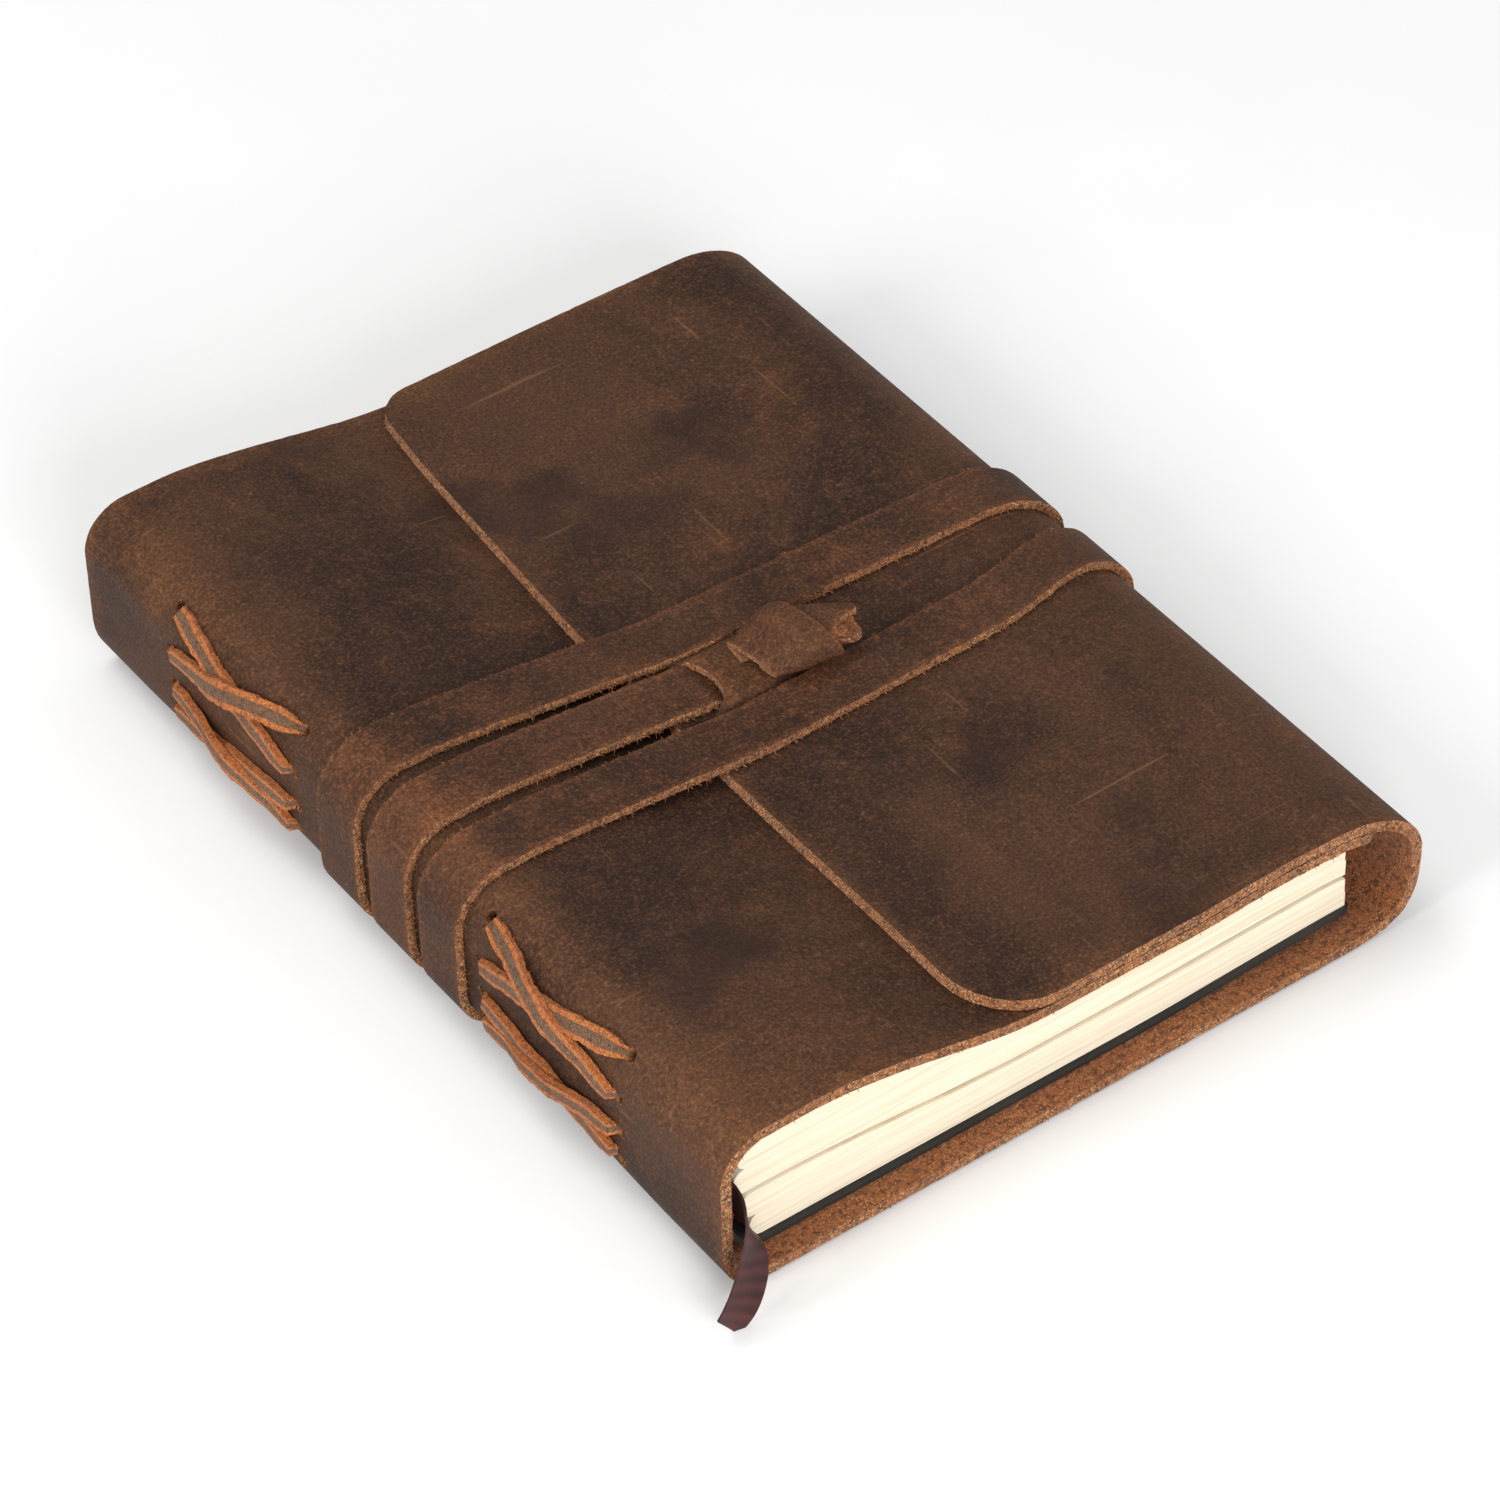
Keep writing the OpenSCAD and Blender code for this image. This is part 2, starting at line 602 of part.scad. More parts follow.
back_and_spine_leather();
front_cover_leather();
flap_leather();
insert_card_cover();
signature_1();
signature_2();
signature_3();
signature_4();
signature_5();
insert_sewing_thread();
head_lace();
tail_lace();
strap_inner_turn();
strap_outer_turn();
strap_end();
strap_cover_run_a();
strap_cover_run_b();
strap_cover_run_c();
strap_flap_run_a();
strap_flap_run_c();
strap_anchor_run();
toggle_knot();
bookmark_ribbon();
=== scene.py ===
# %% [markdown]
# # A leather notebook cover with a wrap-round strap
# The cover is one long hide folded round a sewn book block. Every piece below starts as a
# flat pattern, as it does on the cutting bench, and is then bent round the book.

# %% The frame and the tools
from bisect import bisect_left
from math import atan2, cos, degrees, pi, radians, sin, sqrt
from random import Random

import bpy
import bmesh
from mathutils import Matrix, Vector, noise


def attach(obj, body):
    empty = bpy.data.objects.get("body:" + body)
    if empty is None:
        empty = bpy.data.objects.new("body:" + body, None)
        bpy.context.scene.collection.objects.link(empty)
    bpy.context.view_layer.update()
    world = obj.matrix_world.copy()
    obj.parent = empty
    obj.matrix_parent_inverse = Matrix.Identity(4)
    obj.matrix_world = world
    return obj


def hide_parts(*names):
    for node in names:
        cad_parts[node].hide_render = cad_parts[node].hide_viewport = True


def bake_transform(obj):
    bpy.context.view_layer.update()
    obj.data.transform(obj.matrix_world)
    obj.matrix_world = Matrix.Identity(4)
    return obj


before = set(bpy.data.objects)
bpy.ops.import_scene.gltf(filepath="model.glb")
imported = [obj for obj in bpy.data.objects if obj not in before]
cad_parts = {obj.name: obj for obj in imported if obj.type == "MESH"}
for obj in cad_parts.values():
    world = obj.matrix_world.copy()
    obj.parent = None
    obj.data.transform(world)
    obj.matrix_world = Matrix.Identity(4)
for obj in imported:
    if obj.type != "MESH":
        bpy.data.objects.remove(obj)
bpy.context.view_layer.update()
MM = 0.001

# %% [markdown]
# ## Sizes
# The book lies on its back: X runs from the spine to the fore edge, Y from the tail to the
# head and Z up. All sizes below are in millimetres, and a helper turns them into metres.

# %% Sizes of the closed book
HALF_LEN = 89.0
SPINE_H, FRONT_H, BACK_H = 32.4, 25.2, 3.2
HIDE, STRAP, LACE = 2.0, 1.5, 1.2
LAY = 0.2
SPINE_TOP, TOP_R = (-59.25, 23.9), 8.5
SPINE_LOW, LOW_R = (-59.75, 11.2), 8.0
FOLD_X, FOLD_Z, FOLD_D, FOLD_H = 51.0, 15.3, 16.75, 12.1
FLAP_EDGE, FRONT_EDGE, SEAM_X = -17.3, 61.0, -58.0
SLIT_X, SLIT_Y, KNOT_FOOT = -7.6, -1.8, 2.6
STRAP_W = 10.4


def smooth(t):
    t = max(0.0, min(1.0, t))
    return t * t * (3 - 2 * t)


def bump(x, middle, half):
    """1 at the middle, falling smoothly to 0 at half away from it."""
    return smooth(1 - abs(x - middle) / half)


# %% [markdown]
# ## Camera, floor and light
# The camera looks down on the tail and the spine. Its roll is small, and its long lens keeps
# the edges nearly parallel. A pale floor and large soft lamps stand in for a light tent.

# %% Camera
EYE, AIM = Vector((-0.4254, -0.6122, 0.7069)), Vector((0.0062, 0.0062, 0.0))
ROLL = radians(-1.5686)
camera_data = bpy.data.cameras.new("camera")
camera_data.lens, camera_data.sensor_width = 151.75, 36
camera = bpy.data.objects.new("camera", camera_data)
bpy.context.scene.collection.objects.link(camera)
turn = (AIM - EYE).to_track_quat("-Z", "Y").to_matrix().to_4x4()
camera.matrix_world = Matrix.Translation(EYE) @ turn @ Matrix.Rotation(ROLL, 4, "Z")
bpy.context.scene.camera = camera
print("camera at", [round(c, 3) for c in EYE])

# %% Floor and lamps
bpy.ops.object.select_all(action="DESELECT")
bpy.ops.mesh.primitive_plane_add(size=6, location=(0, 0, 0))
floor = bpy.context.object
floor.name = "floor"


def lamp(name, place, size, power, aim=(0, 0, 0.01)):
    """A square area lamp that looks at a point."""
    data = bpy.data.lights.new(name, "AREA")
    data.size, data.energy = size, power
    ob = bpy.data.objects.new(name, data)
    ob.location = place
    ob.rotation_euler = (Vector(aim) - Vector(place)).to_track_quat("-Z", "Y").to_euler()
    bpy.context.scene.collection.objects.link(ob)
    return ob


lamp("overhead", (-0.25, 0.45, 1.2), 0.7, 5)
lamp("tail_side", (-0.35, -1.2, 0.55), 0.7, 15)
lamp("spine_side", (-1.2, -0.1, 0.7), 0.5, 9)
lamp("fore_side", (1.0, -0.5, 0.8), 0.6, 2)
world = bpy.context.scene.world or bpy.data.worlds.new("world")
bpy.context.scene.world = world
world.use_nodes = True
world.node_tree.nodes["Background"].inputs[0].default_value = (1, 1, 1, 1)
world.node_tree.nodes["Background"].inputs[1].default_value = 0.5
bpy.context.scene.view_settings.view_transform = "Standard"

# %% [markdown]
# ## A small language for finishes
# A finish is a graph of nodes. Wrapping each socket in a class lets the sums be written as
# sums: `grain * 0.4 + 0.3` makes its Math nodes. Every other node comes from one method.


# %% Sockets that add and multiply
class Wire:
    """An output socket. Arithmetic on it adds Math nodes."""

    def __init__(self, finish, socket):
        self.finish, self.socket = finish, socket

    def maths(self, operation, *values):
        return self.finish.node("ShaderNodeMath", dict(operation=operation), *values)

    def __add__(self, other):
        return self.maths("ADD", self, other)

    def __sub__(self, other):
        return self.maths("SUBTRACT", self, other)

    def __mul__(self, other):
        return self.maths("MULTIPLY", self, other)

    def __rsub__(self, other):
        return self.maths("SUBTRACT", other, self)

    __radd__, __rmul__ = __add__, __mul__

    def abs(self):
        return self.maths("ABSOLUTE", self)

    def step(self, low, high, start=0.0, stop=1.0):
        """Goes smoothly from start to stop while this goes from low to high."""
        return self.finish.node("ShaderNodeMapRange", dict(interpolation_type="SMOOTHSTEP"),
                                self, low, high, start, stop)


class Finish:
    """A material, and the nodes that make it."""

    def __init__(self, name):
        self.material = bpy.data.materials.new(name)
        self.material.use_nodes = True
        self.tree = self.material.node_tree
        self.tree.nodes.clear()
        self.place = self.node("ShaderNodeTexCoord", {}, out="Object")

    def node(self, kind, settings, *values, out=0, **named):
        made = self.tree.nodes.new(kind)
        for key, value in settings.items():
            setattr(made, key, value)
        for key, value in list(enumerate(values)) + list(named.items()):
            if isinstance(key, str):
                key = key.replace("_", " ")
            if value is None:
                continue
            if isinstance(value, Wire):
                self.tree.links.new(value.socket, made.inputs[key])
            else:
                made.inputs[key].default_value = value
        return Wire(self, made.outputs[out])

    def noise(self, scale, detail=3, rough=0.55, stretch=(1, 1, 1), turn=0.0, twist=0.0):
        place = self.node("ShaderNodeMapping", {}, Vector=self.place,
                          Rotation=(0, 0, turn), Scale=stretch)
        return self.node("ShaderNodeTexNoise", {}, Vector=place, Scale=scale, Detail=detail,
                         Roughness=rough, Distortion=twist)

    def cells(self, scale, feature="F1"):
        return self.node("ShaderNodeTexVoronoi", dict(feature=feature), Vector=self.place,
                         Scale=scale)

    def worn(self, name):
        """A number painted on the piece's own points."""
        return self.node("ShaderNodeAttribute", dict(attribute_name=name), out="Fac")

    def mix(self, amount, first, second):
        made = self.tree.nodes.new("ShaderNodeMix")
        made.data_type = "RGBA"
        for key, value in ((0, amount), (6, first), (7, second)):
            if isinstance(value, Wire):
                self.tree.links.new(value.socket, made.inputs[key])
            else:
                made.inputs[key].default_value = value
        return Wire(self, made.outputs[2])

    def bump(self, height, depth, strength=1.0):
        return self.node("ShaderNodeBump", {}, Strength=strength, Distance=depth, Height=height)

    def surface(self, colour, rough, normal=None, **even):
        shader = self.node("ShaderNodeBsdfPrincipled", {}, Base_Color=colour, Roughness=rough,
                           Normal=normal, **even)
        end = self.tree.nodes.new("ShaderNodeOutputMaterial")
        self.tree.links.new(shader.socket, end.inputs[0])
        return self.material


def shade(red, green, blue):
    """A colour as read on a screen, 0 to 255, as the light the nodes work in."""
    def one(c):
        c /= 255
        return c / 12.92 if c <= 0.04045 else ((c + 0.055) / 1.055) ** 2.4
    return one(red), one(green), one(blue), 1.0


# %% [markdown]
# ## Leather that shows its wear, and painted highlights
# Waxed pull-up leather goes paler wherever it is bent or rubs. So its colour is a dark
# brown with broad clouds, paler patches where it rubs, near-black stains, fine scratches, and a
# paler band where each piece's own points say that an edge or a fold is near. On the hide those
# points also carry painted highlights: on the fold, along with its wear, and on the front cover near the
# spine.


# %% The hide's outer face
def outer_leather(name, warmth=0.0, scored=None):
    f = Finish(name)
    clouds = f.noise(24, 4, 0.6, (1, 0.7, 1), twist=0.5)
    patches = f.noise(46, 6, 0.68, (1, 1.3, 1), turn=0.6)
    stains = f.noise(30, 4, 0.55)
    mottle = f.noise(520, 5, 0.72)
    dust = f.noise(1700, 5, 0.85)
    streaks = f.noise(900, 2, 0.5, (1, 0.035, 0.3), turn=0.95)
    cross = f.noise(800, 2, 0.5, (0.03, 1, 0.3), turn=-0.4)
    scratch = streaks.step(0.66, 0.74) * patches.step(0.48, 0.6)
    scratch = scratch + cross.step(0.68, 0.76) * clouds.step(0.48, 0.6)
    pores = f.cells(1300).step(0.1, 0.6)
    # On the hide the worn numbers also hold painted highlights, on the fold and on the front cover near
    # the spine, so the pale mix below paints them as well.
    worn = f.worn("worn") * mottle.step(0.25, 0.7, 0.5, 1.0)
    rub_and_highlight = patches.step(0.5, 0.8) * 0.45 + mottle.step(0.45, 0.8) * 0.3 + worn * 0.85
    if scored is not None:
        line = (f.worn("across") - scored).abs().step(0.02, 0.12, 1.0, 0.0)
        scratch = scratch + line * mottle.step(0.45, 0.6, 0.0, 0.6)
    colour = f.mix(clouds.step(0.36, 0.66), shade(42, 28, 22), shade(70, 47, 34))
    colour = f.mix(rub_and_highlight, colour, shade(106 + warmth, 68, 42))
    colour = f.mix(dust.step(0.5, 0.64) * (rub_and_highlight * 0.5 + 0.24), colour, shade(146 + warmth, 100, 66))
    colour = f.mix(dust.step(0.36, 0.48, 0.6, 0.0), colour, shade(24, 16, 13))
    colour = f.mix(stains.step(0.56, 0.72, 0, 0.6), colour, shade(36, 25, 22))
    colour = f.mix(scratch * 0.3, colour, shade(142, 100, 68))
    speck = f.cells(300).step(0.02, 0.06, 0.5, 0.0) * mottle.step(0.54, 0.6)
    colour = f.mix(speck, colour, shade(180, 146, 112))
    rough = 0.5 + clouds * 0.14 + rub_and_highlight * 0.14 + dust * 0.08
    height = dust * 0.5 + pores * 0.3 + mottle * 0.6 - scratch * 0.35
    return f.surface(colour, rough, f.bump(height, 0.00018, 0.7), Specular_IOR_Level=0.12)


OUTER = outer_leather("waxed_hide")
STRAP_FACE = outer_leather("waxed_strap", 4, scored=-3.7)
print("outer leather", len(OUTER.node_tree.nodes), "nodes")

# %% [markdown]
# ## Cut edges and the flesh side
# A knife cut shows the raw tan fibre in the middle of the hide. The flesh side is rusty suede
# without wax. Both are matt, and their fibres are a rough bump.


# %% Raw leather
def raw_leather(name, deep, middle, pale, scale):
    f = Finish(name)
    fibre = f.noise(scale, 5, 0.75)
    fluff = f.noise(scale * 3.2, 3, 0.7)
    broad = f.noise(55, 3, 0.6)
    colour = f.mix(fibre.step(0.38, 0.56), deep, middle)
    colour = f.mix(fluff.step(0.5, 0.66) * broad.step(0.3, 0.7, 0.5, 1.0), colour, pale)
    height = fibre + fluff * 0.7
    return f.surface(colour, 0.93 + fluff * 0.05, f.bump(height, 0.0005, 0.8),
                     Specular_IOR_Level=0.12, Sheen_Weight=0.1, Sheen_Roughness=0.6)


CUT = raw_leather("cut_edge", shade(72, 38, 20), shade(142, 86, 46), shade(222, 170, 112), 950)
FLESH = raw_leather("flesh_side", shade(86, 46, 25), shade(142, 84, 46), shade(202, 142, 88), 800)
SUEDE = raw_leather("suede_face", shade(70, 48, 32), shade(106, 74, 50), shade(150, 112, 76), 1200)
SUEDE_EDGE = raw_leather("suede_edge", shade(114, 56, 22), shade(178, 98, 42), shade(224, 152, 84), 1300)

# %% [markdown]
# ## Paper, card, thread and ribbon
# A page edge is hundreds of sheets seen end on, so its lines follow the height in the stack.
# The ribbon is satin, with ribs across it. RIB_RATE is in radians a metre.

# %% The insert's finishes
RIB_RATE = 2600


def paper():
    f = Finish("page_paper")
    lines = f.noise(2600, 3, 0.7, (0.012, 0.012, 1))
    drift = f.noise(420, 3, 0.6, (0.05, 0.03, 1))
    colour = f.mix(lines.step(0.3, 0.62) * 0.75 + 0.12, shade(210, 194, 164), shade(232, 222, 202))
    colour = f.mix(drift.step(0.5, 0.75) * 0.35, colour, shade(222, 202, 164))
    return f.surface(colour, 0.9, f.bump(lines + drift * 0.6, 0.00025, 0.55),
                     Specular_IOR_Level=0.15)


def card():
    f = Finish("card_black")
    grain = f.noise(1300, 3)
    rub = f.noise(70, 3)
    colour = f.mix(rub.step(0.4, 0.8), shade(26, 25, 25), shade(44, 42, 41))
    return f.surface(colour, 0.55 + grain * 0.15, f.bump(grain, 0.00008, 0.4))


def thread():
    f = Finish("linen_thread")
    twist = f.noise(2600, 2, stretch=(1, 1, 0.25), turn=0.5)
    colour = f.mix(twist.step(0.3, 0.7), shade(196, 182, 150), shade(240, 230, 206))
    return f.surface(colour, 0.85, f.bump(twist, 0.0001, 0.6))


def satin():
    f = Finish("ribbon_satin")
    along = f.worn("along")
    swing = along * RIB_RATE
    rib = swing.maths("SINE", swing) * 0.5 + 0.5
    cloud = f.noise(160, 2)
    colour = f.mix(rib * 0.5 + cloud.step(0.35, 0.7) * 0.5, shade(46, 22, 22), shade(76, 40, 38))
    return f.surface(colour, 0.42 + cloud * 0.12, f.bump(rib, 0.00006, 0.5),
                     Specular_IOR_Level=0.2, Sheen_Weight=0.03, Sheen_Roughness=0.4)


def pale_floor():
    f = Finish("pale_floor")
    grain = f.noise(30, 2)
    return f.surface(f.mix(grain, (0.8, 0.8, 0.8, 1), (0.82, 0.82, 0.82, 1)), 0.85 + grain * 0.05)


PAPER, CARD, THREAD, SATIN = paper(), card(), thread(), satin()
floor.data.materials.append(pale_floor())
print("finishes:", len(bpy.data.materials))


# %% [markdown]
# ## Helpers for working on a mesh by hand
# Operators act on what is selected, so each helper starts by clearing the selection.


# %% Selecting and finishing
def take(ob):
    """Makes one object the selected and active one."""
    if bpy.context.object and bpy.context.object.mode != "OBJECT":
        bpy.ops.object.mode_set(mode="OBJECT")
    bpy.ops.object.select_all(action="DESELECT")
    ob.select_set(True)
    bpy.context.view_layer.objects.active = ob
    return ob


def apply_modifier(ob, kind, **settings):
    take(ob)
    modifier = ob.modifiers.new(kind.lower(), kind)
    for key, value in settings.items():
        setattr(modifier, key, value)
    bpy.ops.object.modifier_apply(modifier=modifier.name)


def tris(ob):
    return sum(len(p.vertices) - 2 for p in ob.data.polygons)


def finish_piece(ob, materials, angle=42):
    """Materials and smooth shading."""
    for material in materials:
        ob.data.materials.append(material)
    take(ob)
    bpy.ops.object.shade_smooth_by_angle(angle=radians(angle))
    print(ob.name, tris(ob), "triangles")
    return ob


# %% [markdown]
# ## Lines that the hide follows
# Seen from the tail, the hide is a line that runs over the front, down the spine, under the
# back, up the fore edge and over the front again. The strap runs the same way round. A route
# is such a line, measured along its length, so that flat patterns can be laid on it.


# %% Heights and droop
def front_z(x):
    """Height of the front cover's outer face, level and then round inside the fold."""
    if x < FOLD_X:
        return FRONT_H + (SPINE_H - FRONT_H) * (1 - smooth((x + 54.25) / 50))
    reach = FOLD_D - HIDE - LAY
    return FOLD_Z + (FOLD_H - HIDE - LAY) * sqrt(max(0, 1 - ((x - FOLD_X) / reach) ** 2))


def swell(x, y):
    """How far the covers rise in soft waves above their plain line."""
    wave = 0.55 * bump(x, -33, 24) * smooth((-y - 20) / 60)
    wave += 0.7 * bump(x, 40, 20) * smooth((-y - 30) / 55)
    wave += 0.35 * (noise.noise(Vector((x * 0.03, y * 0.025, 3.1))) + 0.5)
    return max(0.0, wave) * smooth((x + 60) / 12) * smooth((64 - x) / 12) * smooth((abs(y + 3) - 24) / 20)


def beyond_strap(y):
    """0 beside the strap, growing to 1 towards the head and the tail."""
    return smooth((abs(y) - 24) / 52)


def droop(x, y, z):
    """How far the leather under the book hangs where the strap doesn't lift it."""
    return 2.75 * beyond_strap(y) * smooth((17 - z) / 12)


class Route:
    """A line in the XZ plane that can be asked for the point at a distance along it."""

    def __init__(self, points):
        self.points = [Vector(p) for p in points]
        self.at = [0.0]
        for a, b in zip(self.points, self.points[1:]):
            self.at.append(self.at[-1] + (b - a).length)
        self.length = self.at[-1]

    def point(self, u):
        """The point at u, and the direction that faces away from the book."""
        u = max(0.0, min(self.length, u))
        k = min(max(0, bisect_left(self.at, u) - 1), len(self.at) - 2)
        a, b = self.points[k], self.points[k + 1]
        span = self.at[k + 1] - self.at[k]
        share = (u - self.at[k]) / span if span else 0
        before = self.points[max(0, k - 1)]
        after = self.points[min(len(self.points) - 1, k + 2)]
        start, stop = b - before, after - a
        way = (start.normalized() * (1 - share) + stop.normalized() * share).normalized()
        return a.lerp(b, share), Vector((way.y, -way.x))


def spread(start, stop, step):
    count = max(1, round(abs(stop - start) / step))
    return [start + (stop - start) * i / count for i in range(count + 1)]


def arc(centre, radius, start, stop, count=20):
    return [(centre[0] + radius * cos(radians(a)), centre[1] + radius * sin(radians(a)))
            for a in spread(start, stop, abs(stop - start) / count)]


def spine_line(out=0.0, stop=SEAM_X):
    """Round the spine, from its top to the point where it has turned under the back."""
    line = arc(SPINE_TOP, TOP_R + out, 90, 180) + arc(SPINE_LOW, LOW_R + out, 180, 270)
    return line + [(x, BACK_H - out) for x in spread(SPINE_LOW[0], stop, 1.0)[1:]]


def fold_line(out=0.0):
    """Round the fore edge, from under the back to the top."""
    line = []
    for a in spread(-90, 90, 3):
        power = 2 / 3 if a < 0 else 1
        rise = abs(sin(radians(a))) ** power * (-1 if a < 0 else 1)
        line.append((FOLD_X + (FOLD_D + out) * max(0, cos(radians(a))) ** power,
                     FOLD_Z + (FOLD_H + out) * rise))
    return line


def front_line(start, stop, out=0.0, height=front_z):
    return [(x, height(x) + out) for x in spread(start, stop, 1.0)]


# %% [markdown]
# ## Cutting a flat pattern
# A pattern is a grid in the XY plane: X is the distance along the route and Y the distance
# across it. Corners are cut off with the bisect operator, a thickness is added below, the
# two long arrises are rounded with a bevel, and holes are punched with a Boolean. Only then
# is the piece bent, by moving each point to its place on the route.


# %% Pattern tools
def pattern(name, length, low, high, cell=(1.5, 2.0)):
    """A flat grid from 0 to length along the route, and from low to high across it."""
    bpy.ops.object.select_all(action="DESELECT")
    columns, rows = max(2, round(length / cell[0])), max(2, round((high - low) / cell[1]))
    bpy.ops.mesh.primitive_grid_add(x_subdivisions=columns, y_subdivisions=rows, size=1,
                                    location=(length / 2, (low + high) / 2, 0))
    ob = bpy.context.object
    ob.name = ob.data.name = name
    ob.scale = (length, high - low, 1)
    bpy.ops.object.transform_apply(location=True, rotation=True, scale=True)
    return ob


def trim(ob, place, away):
    """Cuts the pattern along a line through a place, and drops the side that it faces."""
    away = Vector(away).normalized()
    take(ob)
    bpy.ops.object.mode_set(mode="EDIT")
    bpy.ops.mesh.select_all(action="SELECT")
    bpy.ops.mesh.bisect(plane_co=(*place, 0), plane_no=(*away, 0), clear_outer=True)
    bpy.ops.object.mode_set(mode="OBJECT")


def round_corner(ob, corner, inward, radius, cuts=6):
    """Trims one corner to a radius. inward is the diagonal's signs, into the pattern."""
    centre = (corner[0] + inward[0] * radius, corner[1] + inward[1] * radius)
    for k in range(cuts):
        a = (k + 0.5) * pi / 2 / cuts
        away = (-inward[0] * cos(a), -inward[1] * sin(a))
        trim(ob, (centre[0] + away[0] * radius, centre[1] + away[1] * radius), away)


def thicken(ob, thick, round_by=0.35, keep_square=()):
    """Gives the pattern its thickness downwards, and rounds its cut edges but for square ends."""
    apply_modifier(ob, "SOLIDIFY", thickness=thick, offset=-1)
    take(ob)
    bpy.ops.object.mode_set(mode="EDIT")
    mesh = bmesh.from_edit_mesh(ob.data)
    for e in mesh.edges:
        normals = [f.normal for f in e.link_faces]
        flat = [abs(n.z) > 0.5 for n in normals]
        middle = (e.verts[0].co + e.verts[1].co) / 2
        square = any(abs(middle.x - x) < 0.05 for x in keep_square)
        e.select_set(len(normals) == 2 and flat[0] != flat[1] and not square)
    bmesh.update_edit_mesh(ob.data)
    bpy.ops.mesh.bevel(offset=round_by, segments=2, affect="EDGES")
    bpy.ops.object.mode_set(mode="OBJECT")


def punch(ob, cutter):
    """Cuts a closed shape out of the pattern, and removes the shape."""
    apply_modifier(ob, "BOOLEAN", operation="DIFFERENCE", object=cutter, solver="EXACT")
    bpy.data.objects.remove(cutter)


def sort_faces(ob, thick, square=()):
    """Material 0 on the grain side, 1 on cut edges and 2 on the flesh side."""
    for p in ob.data.polygons:
        end = any(abs(p.center.x - x) < 0.05 for x in square)
        if p.normal.z > 0.9 or (end and p.center.z > -thick / 2):
            p.material_index = 0
        elif p.normal.z < -0.9 or end:
            p.material_index = 2
        else:
            p.material_index = 1


def paint(ob, name, values):
    """Stores one number for each point, for a finish to read."""
    made = ob.data.attributes.new(name, "FLOAT", "POINT")
    made.data.foreach_set("value", values)


def lay(ob, place):
    """Moves each point of the flat piece, given in mm, to its place round the book."""
    for v in ob.data.vertices:
        v.co = Vector(place(v.co.x, v.co.y, v.co.z)) * MM
    ob.data.update()


def hand_cut(ob, low, high, inside=1.0, amount=0.14, ends=()):
    """Moves the points at the long edges in and out a little, as a knife does."""
    for v in ob.data.vertices:
        for edge, way in ((low, -1), (high, 1)):
            if abs(v.co.y - edge) < inside:
                v.co.y += way * amount * noise.noise(Vector((v.co.x * 0.9, edge, 0)))
        for edge, way in ends:
            if abs(v.co.x - edge) < inside:
                v.co.x += way * amount * noise.noise(Vector((v.co.y * 0.9, 7.7, edge)))


FIBRE_RADIUS = 0.17


def add_fibres(ob, lines, thick, each=0.4, long=0.9):
    """Loose fibres along cut edges, as thin closed spikes. A line keeps the piece on its left."""
    chance = Random(11)
    mesh = bmesh.new()
    mesh.from_mesh(ob.data)
    for line in lines:
        for start, stop in zip(line, line[1:]):
            start, stop = Vector((*start, 0)), Vector((*stop, 0))
            way = (stop - start).normalized()
            outward = Vector((way.y, -way.x, 0))
            for _ in range(round((stop - start).length / each)):
                depth = long * chance.uniform(0.35, 1.0) ** 2 + 0.35
                slant = way * chance.uniform(-0.9, 0.9)
                aim = (outward + slant + Vector((0, 0, chance.uniform(-0.8, 0.25)))).normalized()
                foot = start.lerp(stop, chance.random()) - outward * 0.3
                foot.z = -thick * chance.uniform(0.12, 0.88)
                side = aim.cross(way).normalized()
                up = aim.cross(side)
                ring = [foot + (side * cos(a) + up * sin(a)) * FIBRE_RADIUS
                        for a in (0, 2 * pi / 3, 4 * pi / 3)]
                corners = [mesh.verts.new(p) for p in ring + [foot + aim * depth]]
                for a, b, c in ((0, 2, 1), (0, 1, 3), (1, 2, 3), (2, 0, 3)):
                    mesh.faces.new((corners[a], corners[b], corners[c])).material_index = 1
    mesh.to_mesh(ob.data)
    mesh.free()


print("helpers ready")

# %% [markdown]
# ## The bookmark ribbon
# A satin ribbon is glued to the head of the spine, runs down inside the folds of the
# signatures and hangs out at the tail. It is limp, so it drops over the edge of the hide. It
# is a flat pattern that follows a smooth line of points. Its cut end comes down to the table,
# and the end's lower corner is about 1 mm below the table's top.

# %% Ribbon
RIBBON_LINE = [(-62.9, 80, 16), (-62.9, 42, 16), (-62.9, 0, 16), (-62.9, -42, 16), (-62.9, -78, 16),
               (-62.9, -86, 15.8), (-63.4, -89.5, 14.8), (-64.4, -92.2, 12.6), (-65.8, -93.7, 9.8),
               (-67.4, -94.5, 7), (-69, -94.9, 4.7), (-70.6, -94.9, 2.75), (-72.1, -94.6, 1)]
RIBBON_LEAN = [90, 90, 90, 90, 90, 90, 78, 62, 48, 36, 24, 14, 8]
RIBBON_W, RIBBON_T = 7.0, 0.4


def smooth_line(points, extra, count=12):
    """A Catmull-Rom line through points, with a number carried along it."""
    made = []
    rows = [Vector((*p, e)) for p, e in zip(points, extra)]
    for i in range(len(rows) - 1):
        a, b, c, d = rows[max(0, i - 1)], rows[i], rows[i + 1], rows[min(len(rows) - 1, i + 2)]
        for k in range(count):
            t = k / count
            made.append(0.5 * (2 * b + (c - a) * t + (2 * a - 5 * b + 4 * c - d) * t * t
                               + (3 * b - 3 * c + d - a) * t ** 3))
    return made + [rows[-1]]


ribbon_path = smooth_line(RIBBON_LINE, RIBBON_LEAN)
ribbon_at = [0.0]
for a, b in zip(ribbon_path, ribbon_path[1:]):
    ribbon_at.append(ribbon_at[-1] + (b.xyz - a.xyz).length)
ribbon_long = ribbon_at[-1]


